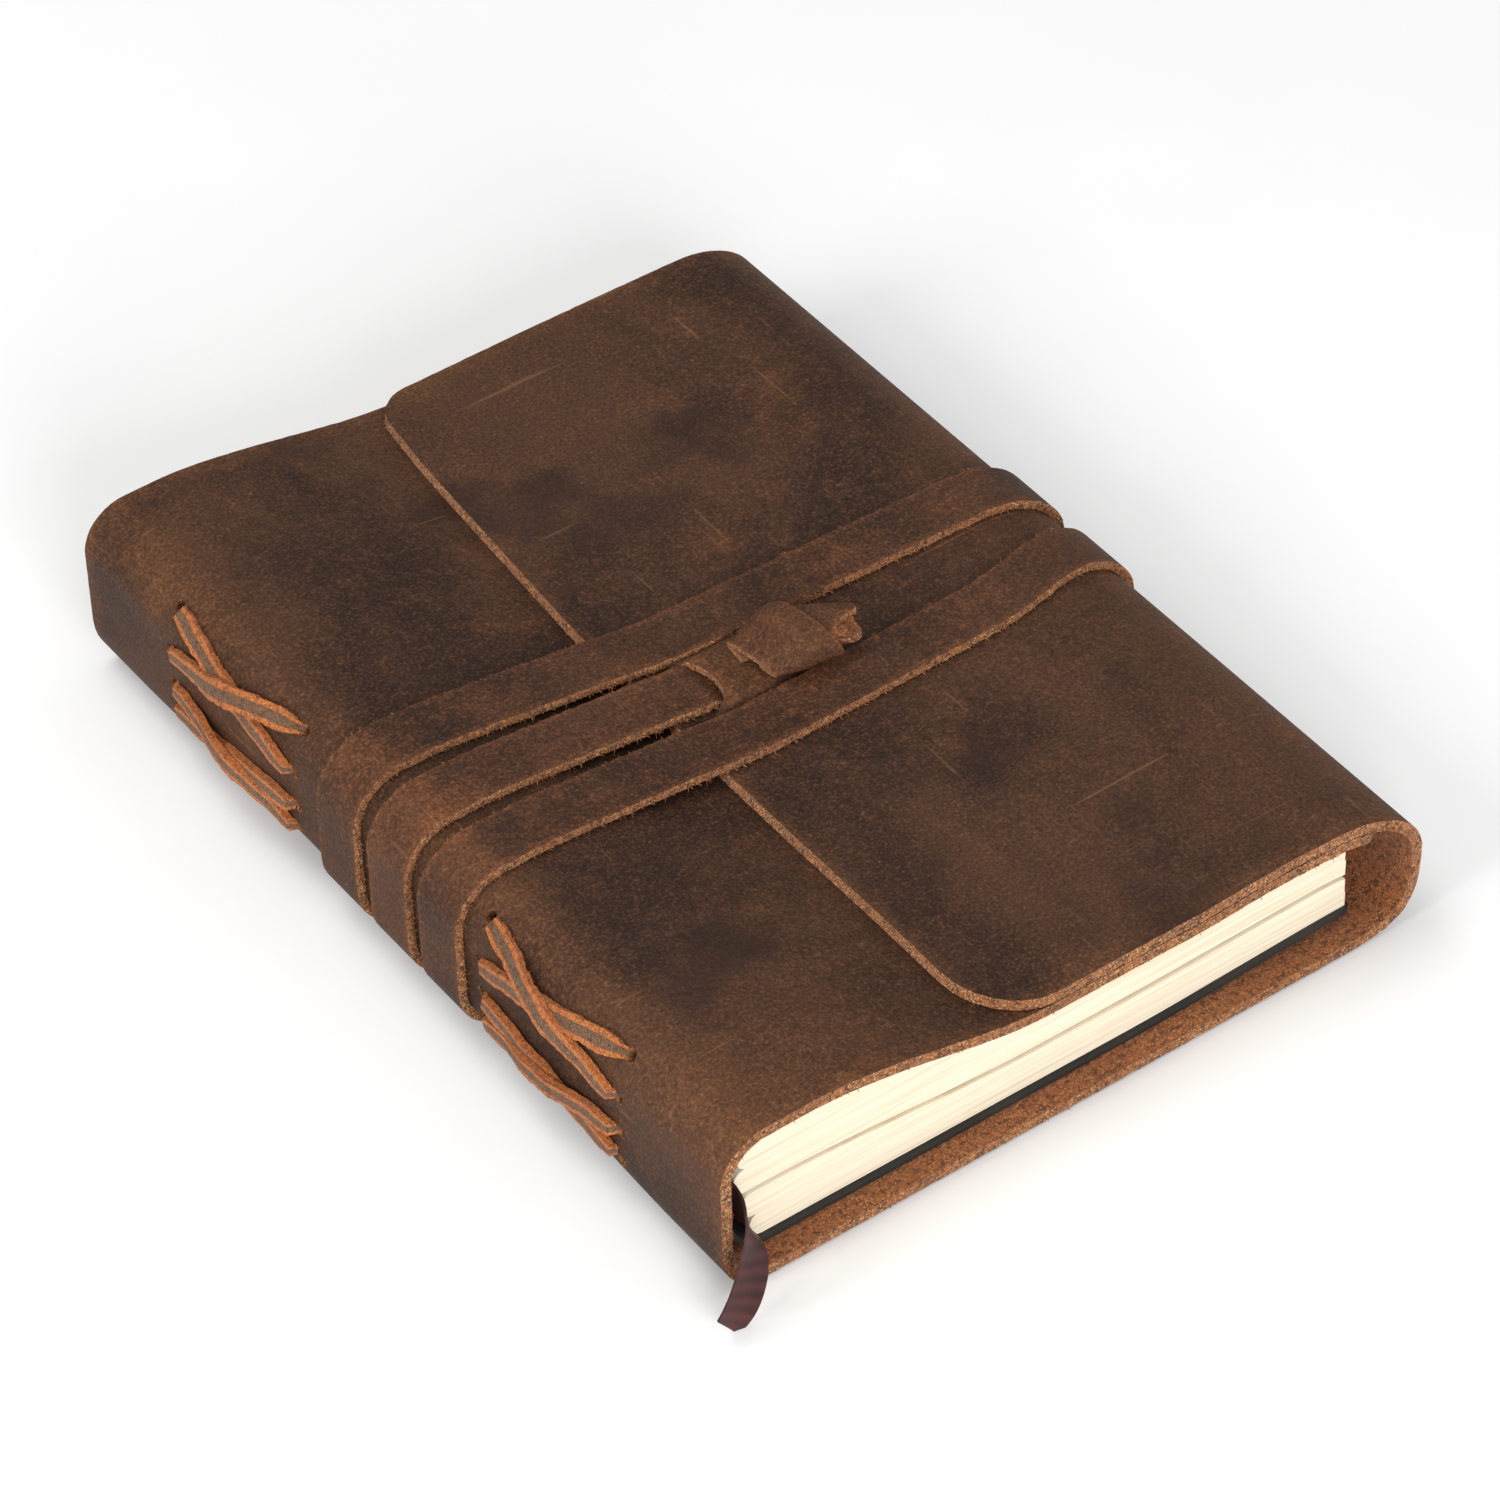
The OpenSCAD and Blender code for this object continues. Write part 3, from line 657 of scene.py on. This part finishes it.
def along_ribbon(s, c, w):
    """A point at s along the ribbon, c across it and w above its middle."""
    k = min(max(0, bisect_left(ribbon_at, s) - 1), len(ribbon_at) - 2)
    share = (s - ribbon_at[k]) / (ribbon_at[k + 1] - ribbon_at[k])
    a, b = ribbon_path[k], ribbon_path[k + 1]
    here = a.lerp(b, share)
    way = (b.xyz - a.xyz).normalized()
    lean = radians(here.w)
    width = Vector((-cos(lean), 0, sin(lean)))
    width = (width - width.dot(way) * way).normalized()
    off = way.cross(width).normalized()
    curl = 0.35 * (c / (RIBBON_W / 2)) ** 2 * smooth((s - ribbon_long + 22) / 20)
    return here.xyz + width * c + off * (w + RIBBON_T / 2 - curl)


ribbon = pattern("ribbon", ribbon_long, -RIBBON_W / 2, RIBBON_W / 2, (0.8, 0.7))
trim(ribbon, (ribbon_long - 1.2, 0), (0.96, 0.28))
apply_modifier(ribbon, "SOLIDIFY", thickness=RIBBON_T, offset=-1)
paint(ribbon, "along", [v.co.x * MM for v in ribbon.data.vertices])
lay(ribbon, along_ribbon)
finish_piece(ribbon, [SATIN], 60)
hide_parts("bookmark_ribbon")
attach(ribbon, "book")
print("ribbon", round(ribbon_long, 1), "mm long")

# %% [markdown]
# ## The hide, front half
# The front cover and the spine are cut as one pattern. Sixteen holes are punched for the
# laces before it is bent, and its place is then baked into its points.

# %% Marks of wear, and painted highlights
def wear_and_highlight_of(x, y, z):
    """How worn the hide is at its cut ends and on the spine's shoulder, with the fold partly worn and
    partly a painted highlight, and a painted highlight on the front cover near the spine, towards the
    tail.
    """
    ends = 0.45 * smooth((abs(y) - 85.5) / 3.2)
    shoulder = 0.42 * bump(x, -63, 9) * smooth((z - 20) / 6)
    # The fold is paler partly from wear and partly from a painted highlight where the light catches its
    # curve.
    fold = 0.5 * bump(x, 63, 7) * smooth((z - 14) / 6) + 0.35 * smooth((x - 64) / 3)
    patch = 0.5 * (0.5 + noise.noise(Vector((x * 0.05, y * 0.05, z * 0.05))))
    # A painted highlight: the front cover near the spine, towards the tail, is made paler where the light
    # falls.
    painted_front_highlight = 0.35 * bump(x, -44, 26) * smooth((-y - 40) / 40) * smooth((z - 20) / 6)
    return min(1.0, ends + (shoulder + fold + painted_front_highlight) * (0.6 + patch))


def hide_place(route):
    """Bends a pattern of the hide round the book along a route."""
    def place(u, v, w):
        line, out = route.point(u)
        x, y, z = line.x + out.x * w, -v, line.y + out.y * w
        if z > FOLD_Z:
            z += swell(x, y)
        return x, y, z - droop(x, y, z)
    return place


# %% Front cover and spine
front_route = Route(front_line(FRONT_EDGE, SPINE_TOP[0]) + spine_line()[1:])
front = pattern("cover_front_and_spine", front_route.length, -HALF_LEN, HALF_LEN, (1.4, 2.0))
for side in (-1, 1):
    round_corner(front, (0, side * HALF_LEN), (1, -side), 6)
thicken(front, HIDE, keep_square=(front_route.length,))

SPINE_U = Route(front_line(FRONT_EDGE, SPINE_TOP[0])).length
ARC_U = SPINE_U + TOP_R * pi / 2
ROW_U = [SPINE_U + TOP_R * pi / 4, ARC_U + SPINE_TOP[1] - 22, ARC_U + SPINE_TOP[1] - 15,
         ARC_U + SPINE_TOP[1] - SPINE_LOW[1] + 1.4]
COLUMNS = (26, 63)
HOLE_RADIUS = 1.1
bpy.ops.object.select_all(action="DESELECT")
holes = []
for side in (-1, 1):
    for column in COLUMNS:
        for u in ROW_U:
            bpy.ops.mesh.primitive_cylinder_add(vertices=14, radius=HOLE_RADIUS, depth=8,
                                                location=(u, -side * column, 0))
            holes.append(bpy.context.object)
for hole in holes:
    hole.select_set(True)
bpy.ops.object.join()
punch(front, bpy.context.object)
hand_cut(front, -HALF_LEN, HALF_LEN)
sort_faces(front, HIDE, square=(front_route.length,))
add_fibres(front, [[(6, -HALF_LEN), (front_route.length, -HALF_LEN)],
                   [(front_route.length, HALF_LEN), (6, HALF_LEN)]], HIDE)
place_front = hide_place(front_route)
# These numbers hold the hide's wear and its painted highlights, on the front cover near the spine and on
# the fold.
paint(front, "worn", [wear_and_highlight_of(*place_front(*v.co)) for v in front.data.vertices])
lay(front, place_front)
finish_piece(front, [OUTER, CUT, FLESH])
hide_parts("front_cover_leather", "back_and_spine_leather")
SHOULDER = dict(start=(-0.0653, 0, 0.0299), end=(-0.052, 0, 0.0345))
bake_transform(front)

# %% [markdown]
# ## The hide, back half
# The back runs on round the fore edge and becomes the flap. Its free edge is cut a little
# askew with two round corners, and it has a slit for the strap. Past the slit the strap lies
# under the flap, so the leather there is pushed up into a low swelling.

# %% Back, fold and flap
flap_line = front_line(FOLD_X, FLAP_EDGE, HIDE + LAY)
back_line = [(x, BACK_H) for x in spread(SEAM_X, FOLD_X, 1.0)]
back_route = Route(back_line + fold_line()[1:] + flap_line[1:])
LONG = back_route.length
back = pattern("cover_back_and_flap", LONG, -HALF_LEN, HALF_LEN, (1.4, 2.0))
HEAD_STEP = 5.3
TAIL_CORNER, HEAD_CORNER = 8, 13
trim(back, (LONG, -20), (HALF_LEN - 20, -HEAD_STEP))
round_corner(back, (LONG - HEAD_STEP, -HALF_LEN), (-1, 1), TAIL_CORNER)
round_corner(back, (LONG, HALF_LEN), (-1, -1), HEAD_CORNER)


def flap_u(x):
    """How far along the back's route the flap's outer face is at x."""
    return LONG - (x - FLAP_EDGE) * 1.005


take(back)
bpy.ops.object.mode_set(mode="EDIT")
bpy.ops.mesh.select_all(action="DESELECT")
mesh = bmesh.from_edit_mesh(back.data)
for face in mesh.faces:
    middle = face.calc_center_median()
    face.select_set(flap_u(9) < middle.x < flap_u(-15) and abs(middle.y + SLIT_Y) < 12)
bmesh.update_edit_mesh(back.data)
bpy.ops.mesh.subdivide(number_cuts=1)
bpy.ops.object.mode_set(mode="OBJECT")
thicken(back, HIDE, keep_square=(0,))

SLIT_HALF, SLIT_OPEN, SLIT_BOW = 5.5, 2.4, 1.6
bpy.ops.object.select_all(action="DESELECT")
bpy.ops.mesh.primitive_cube_add(size=1, location=(flap_u(SLIT_X - SLIT_OPEN / 2), -SLIT_Y, 0))
slit = bpy.context.object
slit.scale = (SLIT_OPEN, 2 * SLIT_HALF, 9)
bpy.ops.object.transform_apply(location=True, rotation=True, scale=True)
bpy.ops.object.mode_set(mode="EDIT")
bpy.ops.mesh.subdivide(number_cuts=7)
bpy.ops.object.mode_set(mode="OBJECT")
for v in slit.data.vertices:
    bow = 1 - ((v.co.y + SLIT_Y) / SLIT_HALF) ** 2
    v.co.x -= SLIT_BOW * bow * (1 if v.co.x < flap_u(SLIT_X - SLIT_OPEN / 2) else 0.3)
punch(back, slit)
bpy.ops.mesh.primitive_cube_add(size=1, location=(flap_u(KNOT_FOOT), -SLIT_Y, 0))
foot_hole = bpy.context.object
foot_hole.scale = (2.2, 8.6, 9)
bpy.ops.object.transform_apply(location=True, rotation=True, scale=True)
punch(back, foot_hole)


def pushed_up(x, y):
    """The swelling over the strap, between the slit and the toggle's foot."""
    across = smooth((8.6 - abs(y - SLIT_Y)) / 3.4)
    slit_edge = SLIT_X + SLIT_BOW * (1 - ((y - SLIT_Y) / SLIT_HALF) ** 2)
    return across * smooth((x - slit_edge + 2.2) / 2.0) * smooth((9 - x) / 8)


place_hide = hide_place(back_route)
TOP_SIDE = 24


def place_back(u, v, w):
    x, y, z = place_hide(u, v, w)
    if z > TOP_SIDE and x < 9:
        z += pushed_up(x, y) * (1.55 + 0.75 * -w / HIDE)
    return x, y, z


# The back's numbers hold its wear and the painted highlight on the fold.
def back_wear_and_highlight(u, v, w):
    x, y, z = place_back(u, v, w)
    rub = wear_and_highlight_of(x, y, z) + 0.45 * bump(u, LONG, 2.4) * (z > TOP_SIDE)
    return min(1.0, rub + 0.5 * pushed_up(x, y) * (z > TOP_SIDE) + 0.5 * bump(x, SLIT_X + 1, 2.5)
               * (abs(y - SLIT_Y) < SLIT_HALF + 1) * (z > TOP_SIDE))


hand_cut(back, -HALF_LEN, HALF_LEN, ends=((LONG, 1),))
sort_faces(back, HIDE, square=(0,))
free_edge = arc((LONG - HEAD_STEP - TAIL_CORNER, TAIL_CORNER - HALF_LEN), TAIL_CORNER, -90, 0, 5)
free_edge += [(LONG, -20)]
free_edge += arc((LONG - HEAD_CORNER, HALF_LEN - HEAD_CORNER), HEAD_CORNER, 0, 90, 7)
add_fibres(back, [[(0, -HALF_LEN)] + free_edge + [(0, HALF_LEN)]], HIDE)
slit_line = [(flap_u(SLIT_X + SLIT_BOW * (1 - t * t)), SLIT_HALF * t - SLIT_Y)
             for t in (-0.9, -0.5, 0, 0.5, 0.9)]
add_fibres(back, [slit_line], HIDE, 0.3, 0.6)
paint(back, "worn", [back_wear_and_highlight(*v.co) for v in back.data.vertices])
lay(back, place_back)
finish_piece(back, [OUTER, CUT, FLESH])
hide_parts("back_and_spine_leather", "flap_leather")
FORE_EDGE = dict(start=(0.069, 0, 0.0085), end=(0.069, 0, 0.0245))
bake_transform(back)

# %% [markdown]
# ## The strap
# One long strip starts at the toggle, comes up out of the slit and goes two and a half times
# round the book. It is cut here where it passes from one moving part to another: at the
# flap's free edge, and under the spine. Between the flap's edge and the spine it is pulled
# straight, so daylight shows between it and the cover.

# %% Strap runs
SPINE_Y = dict(a=12.0, b=-2.3, c=-16.4)
FORE_Y = dict(a=9.0, b=-1.2, c=-14.0)
CURVE = dict(a=0.0, b=0.0, c=4.5)
CUT_X, HUMP_X = -59.0, -46.7
OVER = STRAP + 0.1
BRIDGE = ((HUMP_X, front_z(HUMP_X) + OVER), (FLAP_EDGE, front_z(FLAP_EDGE) + HIDE + LAY + OVER + 0.05))


def top_y(turn, x):
    """Where the middle of a turn lies over the front."""
    share = min(1, max(0, (x + 58) / (FOLD_X + 58)))
    return SPINE_Y[turn] + (FORE_Y[turn] - SPINE_Y[turn]) * share + CURVE[turn] * smooth((x - 36) / 32)


def strap_piece(name, line, middle, nodes, body=None, blend=None, trims=(), square=True, rub=0.0):
    """Cuts a length of strap, and lays it on a line whose points are its outer face."""
    route = Route(line)
    ob = pattern(name, route.length, -STRAP_W / 2, STRAP_W / 2, (1.1, 1.3))
    for place, away in trims:
        trim(ob, place, away)
    thicken(ob, STRAP, 0.3, keep_square=(0, route.length) if square else (0,))
    hand_cut(ob, -STRAP_W / 2, STRAP_W / 2, 0.7, 0.3)
    sort_faces(ob, STRAP, square=(0, route.length) if square else (0,))
    half, long = STRAP_W / 2, route.length - (0 if square else 10)
    add_fibres(ob, [[(0, -half), (long, -half)], [(long, half), (0, half)]], STRAP, 0.22, 1.3)
    paint(ob, "across", [v.co.y for v in ob.data.vertices])

    def place(u, v, w):
        at, out = route.point(u)
        x, z = at.x + out.x * w, at.y + out.y * w
        return x, middle(at.x, at.y) - v, z

    worn = []
    for v in ob.data.vertices:
        x, y, z = place(*v.co)
        edge = 0.4 * smooth((abs(v.co.y) - 4.4) / 0.7)
        patchy = 0.1 + rub + 0.3 * noise.noise(Vector((x * 0.09, y * 0.12, z * 0.1)))
        worn.append(max(0, min(1, edge + 0.35 * bump(x, -63, 7) * (z > 20) + patchy)))
    paint(ob, "worn", worn)
    lay(ob, place)
    finish_piece(ob, [STRAP_FACE, CUT, FLESH])
    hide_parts(*nodes)
    if blend:
        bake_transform(ob)
    else:
        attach(ob, body)
    return ob


def over_line():
    """From the flap's edge over the cover, round the spine and just under the back."""
    (x0, z0), (x1, z1) = BRIDGE
    bridge = [(x, z0 + (z1 - z0) * (x - x0) / (x1 - x0)) for x in spread(x1, x0, 1.5)]
    return bridge + front_line(x0 - 1, SPINE_TOP[0], OVER) + spine_line(OVER, CUT_X)[1:]


def under_line(second):
    """Under the back in the first or second layer, round the fore edge, and over the flap."""
    line = []
    for x in spread(CUT_X, FOLD_X, 1.5):
        deep = min(smooth((x - CUT_X) / 6), smooth((FOLD_X - x) / 6)) if second else 0
        line.append((x, BACK_H - OVER - deep * OVER))
    return line + fold_line(OVER)[1:] + front_line(FOLD_X - 1, FLAP_EDGE, HIDE + LAY + OVER)


def over_y(turn):
    return lambda x, z: top_y(turn, x)


def under_y(start, stop):
    """Crosses under the back from one turn's place at the spine to the next at the fore edge."""
    def middle(x, z):
        if z > FOLD_Z:
            return top_y(stop, x)
        share = smooth((x - CUT_X) / (FOLD_X - CUT_X))
        return SPINE_Y[start] + (top_y(stop, 70) - SPINE_Y[start]) * share
    return middle


strap_piece("strap_first_over", over_line(), over_y("b"), ["strap_cover_run_b", "strap_inner_turn"],
            "front_cover", SHOULDER, rub=0.22)
strap_piece("strap_first_round", under_line(False), under_y("b", "a"),
            ["strap_inner_turn", "strap_flap_run_a"], "flap", FORE_EDGE)
strap_piece("strap_second_over", over_line(), over_y("a"), ["strap_cover_run_a", "strap_outer_turn"],
            "front_cover", SHOULDER)
strap_piece("strap_second_round", under_line(True), under_y("a", "c"),
            ["strap_outer_turn", "strap_flap_run_c"], "flap", FORE_EDGE)
strap_piece("strap_last_over", over_line(), over_y("c"), ["strap_cover_run_c", "strap_end"],
            "front_cover", SHOULDER)
end_line = [(x, BACK_H - OVER) for x in spread(CUT_X, CUT_X + 40, 1.5)]
strap_piece("strap_tucked_end", end_line, lambda x, z: SPINE_Y["c"] - 3 * (x - CUT_X) / 40,
            ["strap_end"], "book", trims=[((39, 0), (0.8, 0.6))], square=False)

# %% The strap's start, out of the slit
lift = HIDE + LAY + OVER
UNDER_FLAP = 27.3
start_line = [(KNOT_FOOT + 0.9, 31.5), (KNOT_FOOT + 0.8, 29.6), (KNOT_FOOT + 0.2, 28.3),
              (KNOT_FOOT - 1, 27.5), (KNOT_FOOT - 2.6, UNDER_FLAP), (-3.0, UNDER_FLAP),
              (SLIT_X + 2, UNDER_FLAP),
              (SLIT_X + 0.6, 27.6), (SLIT_X - 0.4, 28.4), (SLIT_X - 1.6, 29.35)]
start_line += front_line(SLIT_X - 2.6, FLAP_EDGE, lift)
strap_piece("strap_start", start_line,
            lambda x, z: SLIT_Y + (top_y("b", FLAP_EDGE) - SLIT_Y) * smooth((SLIT_X + 1 - x) / 9),
            ["strap_anchor_run"], "flap", rub=0.25)

# %% [markdown]
# ## The toggle
# The strap's end is rolled up tight. The inner laps stick out to one side, where their raw
# spiral shows, and the last lap is wound on askew, so that its edge runs across the top.

# %% Roll
KNOT_LEFT, KNOT_MIDDLE, KNOT_RIGHT = -0.7, 7.0, 17.3
ROLL_RADIUS, LAP_HALF, CORE_INSET = 4.6, 5.0, 2.3


def barrel(x):
    """The roll's middle and half sizes at x: low at the left, full, then narrower at the right."""
    grow = smooth((x - KNOT_LEFT + 1) / (KNOT_MIDDLE - KNOT_LEFT + 1))
    back = max(0, min(1, (x - KNOT_MIDDLE) / (KNOT_RIGHT - KNOT_MIDDLE))) ** 1.4
    wide, high = 5.4 + 2.0 * grow - 2.1 * back, 1.3 + 2.8 * grow
    return -3.3 - 1.6 * grow - 4.6 * back, 28.95 + 0.4 * back + high, wide, high


def knot_piece(name, start, stop, inset, shrink, left, right, thick, cell=0.6):
    """A strip wound from one angle to another, in degrees, between two edges along the roll."""
    length, half = radians(stop - start) * ROLL_RADIUS, LAP_HALF
    ob = pattern(name, length, -half, half, (cell, cell))
    thicken(ob, thick, 0.3)
    sort_faces(ob, thick)
    paint(ob, "across", [20.0] * len(ob.data.vertices))
    worn = [min(1, 0.35 + 0.55 * smooth((abs(v.co.y) - 4.2) / 0.8)) for v in ob.data.vertices]
    paint(ob, "worn", worn)

    def place(u, v, w):
        angle = start + (stop - start) * u / length
        inward = inset + shrink * (angle - start) / 360 - w
        share = 0.5 - v / (2 * half)
        x = left(angle) + (right(angle) - left(angle)) * (1 - share)
        y, z, wide, high = barrel(x)
        ripple = 0.12 * noise.noise(Vector((u * 0.4, v * 0.4, inset)))
        turn = radians(angle)
        return (x, y + max(0.2, wide - inward + ripple) * cos(turn),
                z + max(0.2, high - inward + ripple) * sin(turn))

    lay(ob, place)
    finish_piece(ob, [STRAP_FACE, CUT, FLESH], 50)
    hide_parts("toggle_knot")
    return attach(ob, "flap")


def askew(at_back, at_front):
    """An edge that runs from one place at the back of the roll to another at its front."""
    return lambda angle: at_back + (at_front - at_back) * smooth((angle - 40) / 180)


def slanting(angle):
    """The open end is cut away at its top and front, so that the raw spiral shows."""
    turned = (angle - 140) % 360
    turned = turned - 360 if turned > 180 else turned
    return KNOT_RIGHT - 6.0 * smooth(1 - abs(turned) / (130 if turned > 0 else 70))


knot_piece("toggle_last_lap", -75, 262, 0, 0.0, askew(KNOT_LEFT, 1.0), askew(8.3, 11.9), 0.95)
knot_piece("toggle_roll", -60, 420, 1.0, 1.0, askew(3.2, 3.6), slanting, 0.95)


def toggle_core():
    """The tight middle of the roll: a sphere pulled out along the roll, with a shaggy flat end."""
    bpy.ops.object.select_all(action="DESELECT")
    bpy.ops.mesh.primitive_uv_sphere_add(segments=56, ring_count=48, radius=1, location=(0, 0, 0))
    core = bpy.context.object
    core.name = core.data.name = "toggle_core"
    for v in core.data.vertices:
        angle, rho = atan2(v.co.y, v.co.x), sqrt(v.co.x ** 2 + v.co.y ** 2)
        full = min(1, rho * 1.5)
        face = 14.6 * (1 - full) + (slanting(degrees(angle)) - 1.0) * full
        share = (1 + max(-1, min(1, 1.3 * v.co.z))) / 2
        shag = noise.noise(Vector((v.co.x * 9, v.co.y * 9, v.co.z * 9)))
        x = 5 * (1 - share) + (face + 0.7 * shag) * share
        y, z, wide, high = barrel(x)
        y += (wide - CORE_INSET) * full * v.co.x / max(rho, 0.001)
        z += (high - CORE_INSET) * full * v.co.y / max(rho, 0.001)
        v.co = (x, y, z)
        v.co *= MM
    finish_piece(core, [FLESH], 50)
    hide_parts("toggle_knot")
    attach(core, "flap")


toggle_core()

# %% [markdown]
# ## The laces
# Two suede laces hold the insert. Each goes out and in through eight holes and crosses itself
# on the spine. Each stitch is a strip with pinched ends that dive into their holes, and the
# upper stitch of a crossing humps over the lower one.

# %% Lace stitches
lace_route = Route([(SPINE_TOP[0] + 6, SPINE_H)] + spine_line())
LACE_SHIFT = 6.0 - SPINE_U
LACE_W, INNER_LACE_W, LACE_RIM = 3.1, 2.6, 0.5
CROSSING_RISE, RESTING_RISE = 1.5, 0.05


def stitch(name, start, stop, hump, inside=False):
    """One stitch between two holes, each given as (along the route, across it)."""
    a, b = Vector(start), Vector(stop)
    way = (b - a).normalized()
    side = Vector((-way.y, way.x))
    length = (b - a).length
    wide = INNER_LACE_W if inside else LACE_W
    ob = pattern(name, length, -wide / 2, wide / 2, (0.8, 0.7))
    thicken(ob, LACE, 0.3)
    for p in ob.data.polygons:
        p.material_index = 1 if abs(p.center.y) > wide / 2 - LACE_RIM else 0
    for material in (SUEDE, SUEDE_EDGE):
        ob.data.materials.append(material)
    hand_cut(ob, -wide / 2, wide / 2, 0.5, 0.3)
    lower = [(2, -wide / 2), (length - 2, -wide / 2)]
    upper = [(length - 2, wide / 2), (2, wide / 2)]
    add_fibres(ob, [lower, upper], LACE, 0.45, 0.5)

    def place(s, c, w):
        near = min(s, length - s)
        pinch = 0.62 + 0.38 * smooth(near / 5)
        at = a + way * (s + (0.3 if s < length / 2 else -0.3) * smooth(1 - near / 3)) + side * c * pinch
        line, out = lace_route.point(at.x + LACE_SHIFT)
        if inside:
            high = -HIDE - 0.15
        else:
            high = -1.6 + (LACE + 0.25 + 1.6) * smooth(near / 1.4)
            high = high + hump * bump(s, length / 2, length * 0.36)
            high += 0.25 * noise.noise(Vector((s * 0.2, c * 0.15, a.y)))
        off = high + w
        return line.x + out.x * off, -at.y, line.y + out.y * off

    lay(ob, place)
    return ob


def lace_set(name, side, node):
    """The four crossing stitches on the outside, and the three short ones within."""
    left, right = side * COLUMNS[1], side * COLUMNS[0]
    if side < 0:
        left, right = right, left
    hole = {(c, r): (ROW_U[r], -y) for c, y in (("left", left), ("right", right)) for r in range(4)}
    parts = []
    for k, (r, upper) in enumerate(((0, side < 0), (2, side > 0))):
        rises = (CROSSING_RISE, RESTING_RISE) if upper else (RESTING_RISE, CROSSING_RISE)
        parts.append(stitch(f"{name}_{k}a", hole["left", r], hole["right", r + 1], rises[0]))
        parts.append(stitch(f"{name}_{k}b", hole["left", r + 1], hole["right", r], rises[1]))
    for k, (c, r) in enumerate((("left", 0), ("right", 1), ("left", 2))):
        parts.append(stitch(f"{name}_in{k}", hole[c, r], hole[c, r + 1], 0, inside=True))
    take(parts[0])
    for part in parts:
        part.select_set(True)
    bpy.ops.object.join()
    ob = bpy.context.object
    ob.name = ob.data.name = name
    finish_piece(ob, [], 50)  # the stitches bring their two materials
    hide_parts(node)
    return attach(ob, "book")


lace_set("lace_head", 1, "head_lace")
lace_set("lace_tail", -1, "tail_lace")

# %% [markdown]
# ## The insert
# The laces hold a card cover with five sewn signatures in it. At the head and the tail,
# beyond the strap, the lower leaves sag on to the back of the hide.

# %% Card cover
CARD_X, CARD_T, CARD_LOW = -63.95, 0.7, 5.3
PAGE_EDGE, PAGE_HALF, CARD_HALF = 57.0, 84.0, 84.8
SIGNATURES, LEAF_GAP, LEAF_CUTS = 5, 0.09, 28


def card_top(x):
    return front_z(x) - HIDE - LAY


def card_low(x):
    return CARD_LOW + 1.3 * smooth((x - 12) / 45)


def card_line():
    top, low = (CARD_X + 8, SPINE_H - HIDE - LAY - 8), (CARD_X + 7.5, CARD_LOW + 7.5)
    line = [(x, card_top(x)) for x in spread(PAGE_EDGE + 0.8, top[0], 1.5)]
    line += arc(top, 8, 95, 180) + arc(low, 7.5, 180, 265)
    return line + [(x, card_low(x)) for x in spread(low[0], PAGE_EDGE + 0.8, 1.5)]


card_route = Route(card_line())
card_cover = pattern("insert_card", card_route.length, -CARD_HALF, CARD_HALF, (1.6, 3.0))
for end in (0, card_route.length):
    for side in (-1, 1):
        round_corner(card_cover, (end, side * CARD_HALF), (1 if end == 0 else -1, -side), 2, 3)
apply_modifier(card_cover, "SOLIDIFY", thickness=CARD_T, offset=-1)


def place_card(u, v, w):
    at, out = card_route.point(u)
    x, y, z = at.x + out.x * w, -v, at.y + out.y * w
    return x, y, z - droop(x, y, z)


lay(card_cover, place_card)
finish_piece(card_cover, [CARD])
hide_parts("insert_card_cover")
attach(card_cover, "book")


# %% Signatures
def stack_z(x, k):
    low, high = card_low(x) + CARD_T, card_top(x) - CARD_T
    return low + (high - low) * k / SIGNATURES


def sag(x, y, z):
    """The leaves sag most at the bottom of the stack, and not at all at its top."""
    low, high = stack_z(x, 0), stack_z(x, SIGNATURES)
    return 2.65 * beyond_strap(y) * (1 - max(0, min(1, (z - low) / (high - low)))) ** 0.8


def signature(i):
    """A folded stack of leaves: its outline is drawn once and extruded from head to tail."""
    x0 = CARD_X + CARD_T + 1.6 + 2.6 * ((i - 2) / 2) ** 2
    radius = (stack_z(x0 + 3, i + 1) - stack_z(x0 + 3, i)) / 2 - LEAF_GAP
    middle = (stack_z(x0 + 3, i + 1) + stack_z(x0 + 3, i)) / 2
    edge = PAGE_EDGE - 0.5 * (i % 2)
    outline = [(x, stack_z(x, i + 1) - LEAF_GAP) for x in spread(edge, x0 + radius, 2.5)]
    outline += [(x0 + radius + radius * cos(radians(a)), middle + radius * sin(radians(a)))
                for a in spread(105, 255, 15)]
    outline += [(x, stack_z(x, i) + LEAF_GAP) for x in spread(x0 + radius, edge, 2.5)]
    bpy.ops.object.select_all(action="DESELECT")
    bpy.ops.mesh.primitive_circle_add(vertices=len(outline), fill_type="NGON", location=(0, 0, 0))
    ob = bpy.context.object
    ob.name = ob.data.name = f"leaves_{i + 1}"
    head = PAGE_HALF - 0.25 * ((i * 2) % 3)
    tail = -PAGE_HALF + 0.3 * ((i * 2 + 1) % 3)
    for v, (x, z) in zip(ob.data.vertices, outline):
        v.co = (x, tail, z)
    bpy.ops.object.mode_set(mode="EDIT")
    bpy.ops.mesh.select_all(action="SELECT")
    for _ in range(LEAF_CUTS):
        along = (0, (head - tail) / LEAF_CUTS, 0)
        bpy.ops.mesh.extrude_region_move(TRANSFORM_OT_translate=dict(value=along))
    bpy.ops.mesh.select_all(action="SELECT")
    bpy.ops.mesh.normals_make_consistent(inside=False)
    bpy.ops.object.mode_set(mode="OBJECT")
    for v in ob.data.vertices:
        x, y, z = v.co
        slip = 0.12 * noise.noise(Vector((z * 1.7, y * 0.05, i))) * smooth((x - 40) / 15)
        v.co = Vector((x + slip, y, z - sag(x, y, z))) * MM
    finish_piece(ob, [PAPER], 50)
    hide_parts(f"signature_{i + 1}")
    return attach(ob, "book")


for i in range(SIGNATURES):
    signature(i)

# %% Sewing thread
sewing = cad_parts["insert_sewing_thread"]
sewing.data.materials.clear()
sewing.data.materials.append(THREAD)
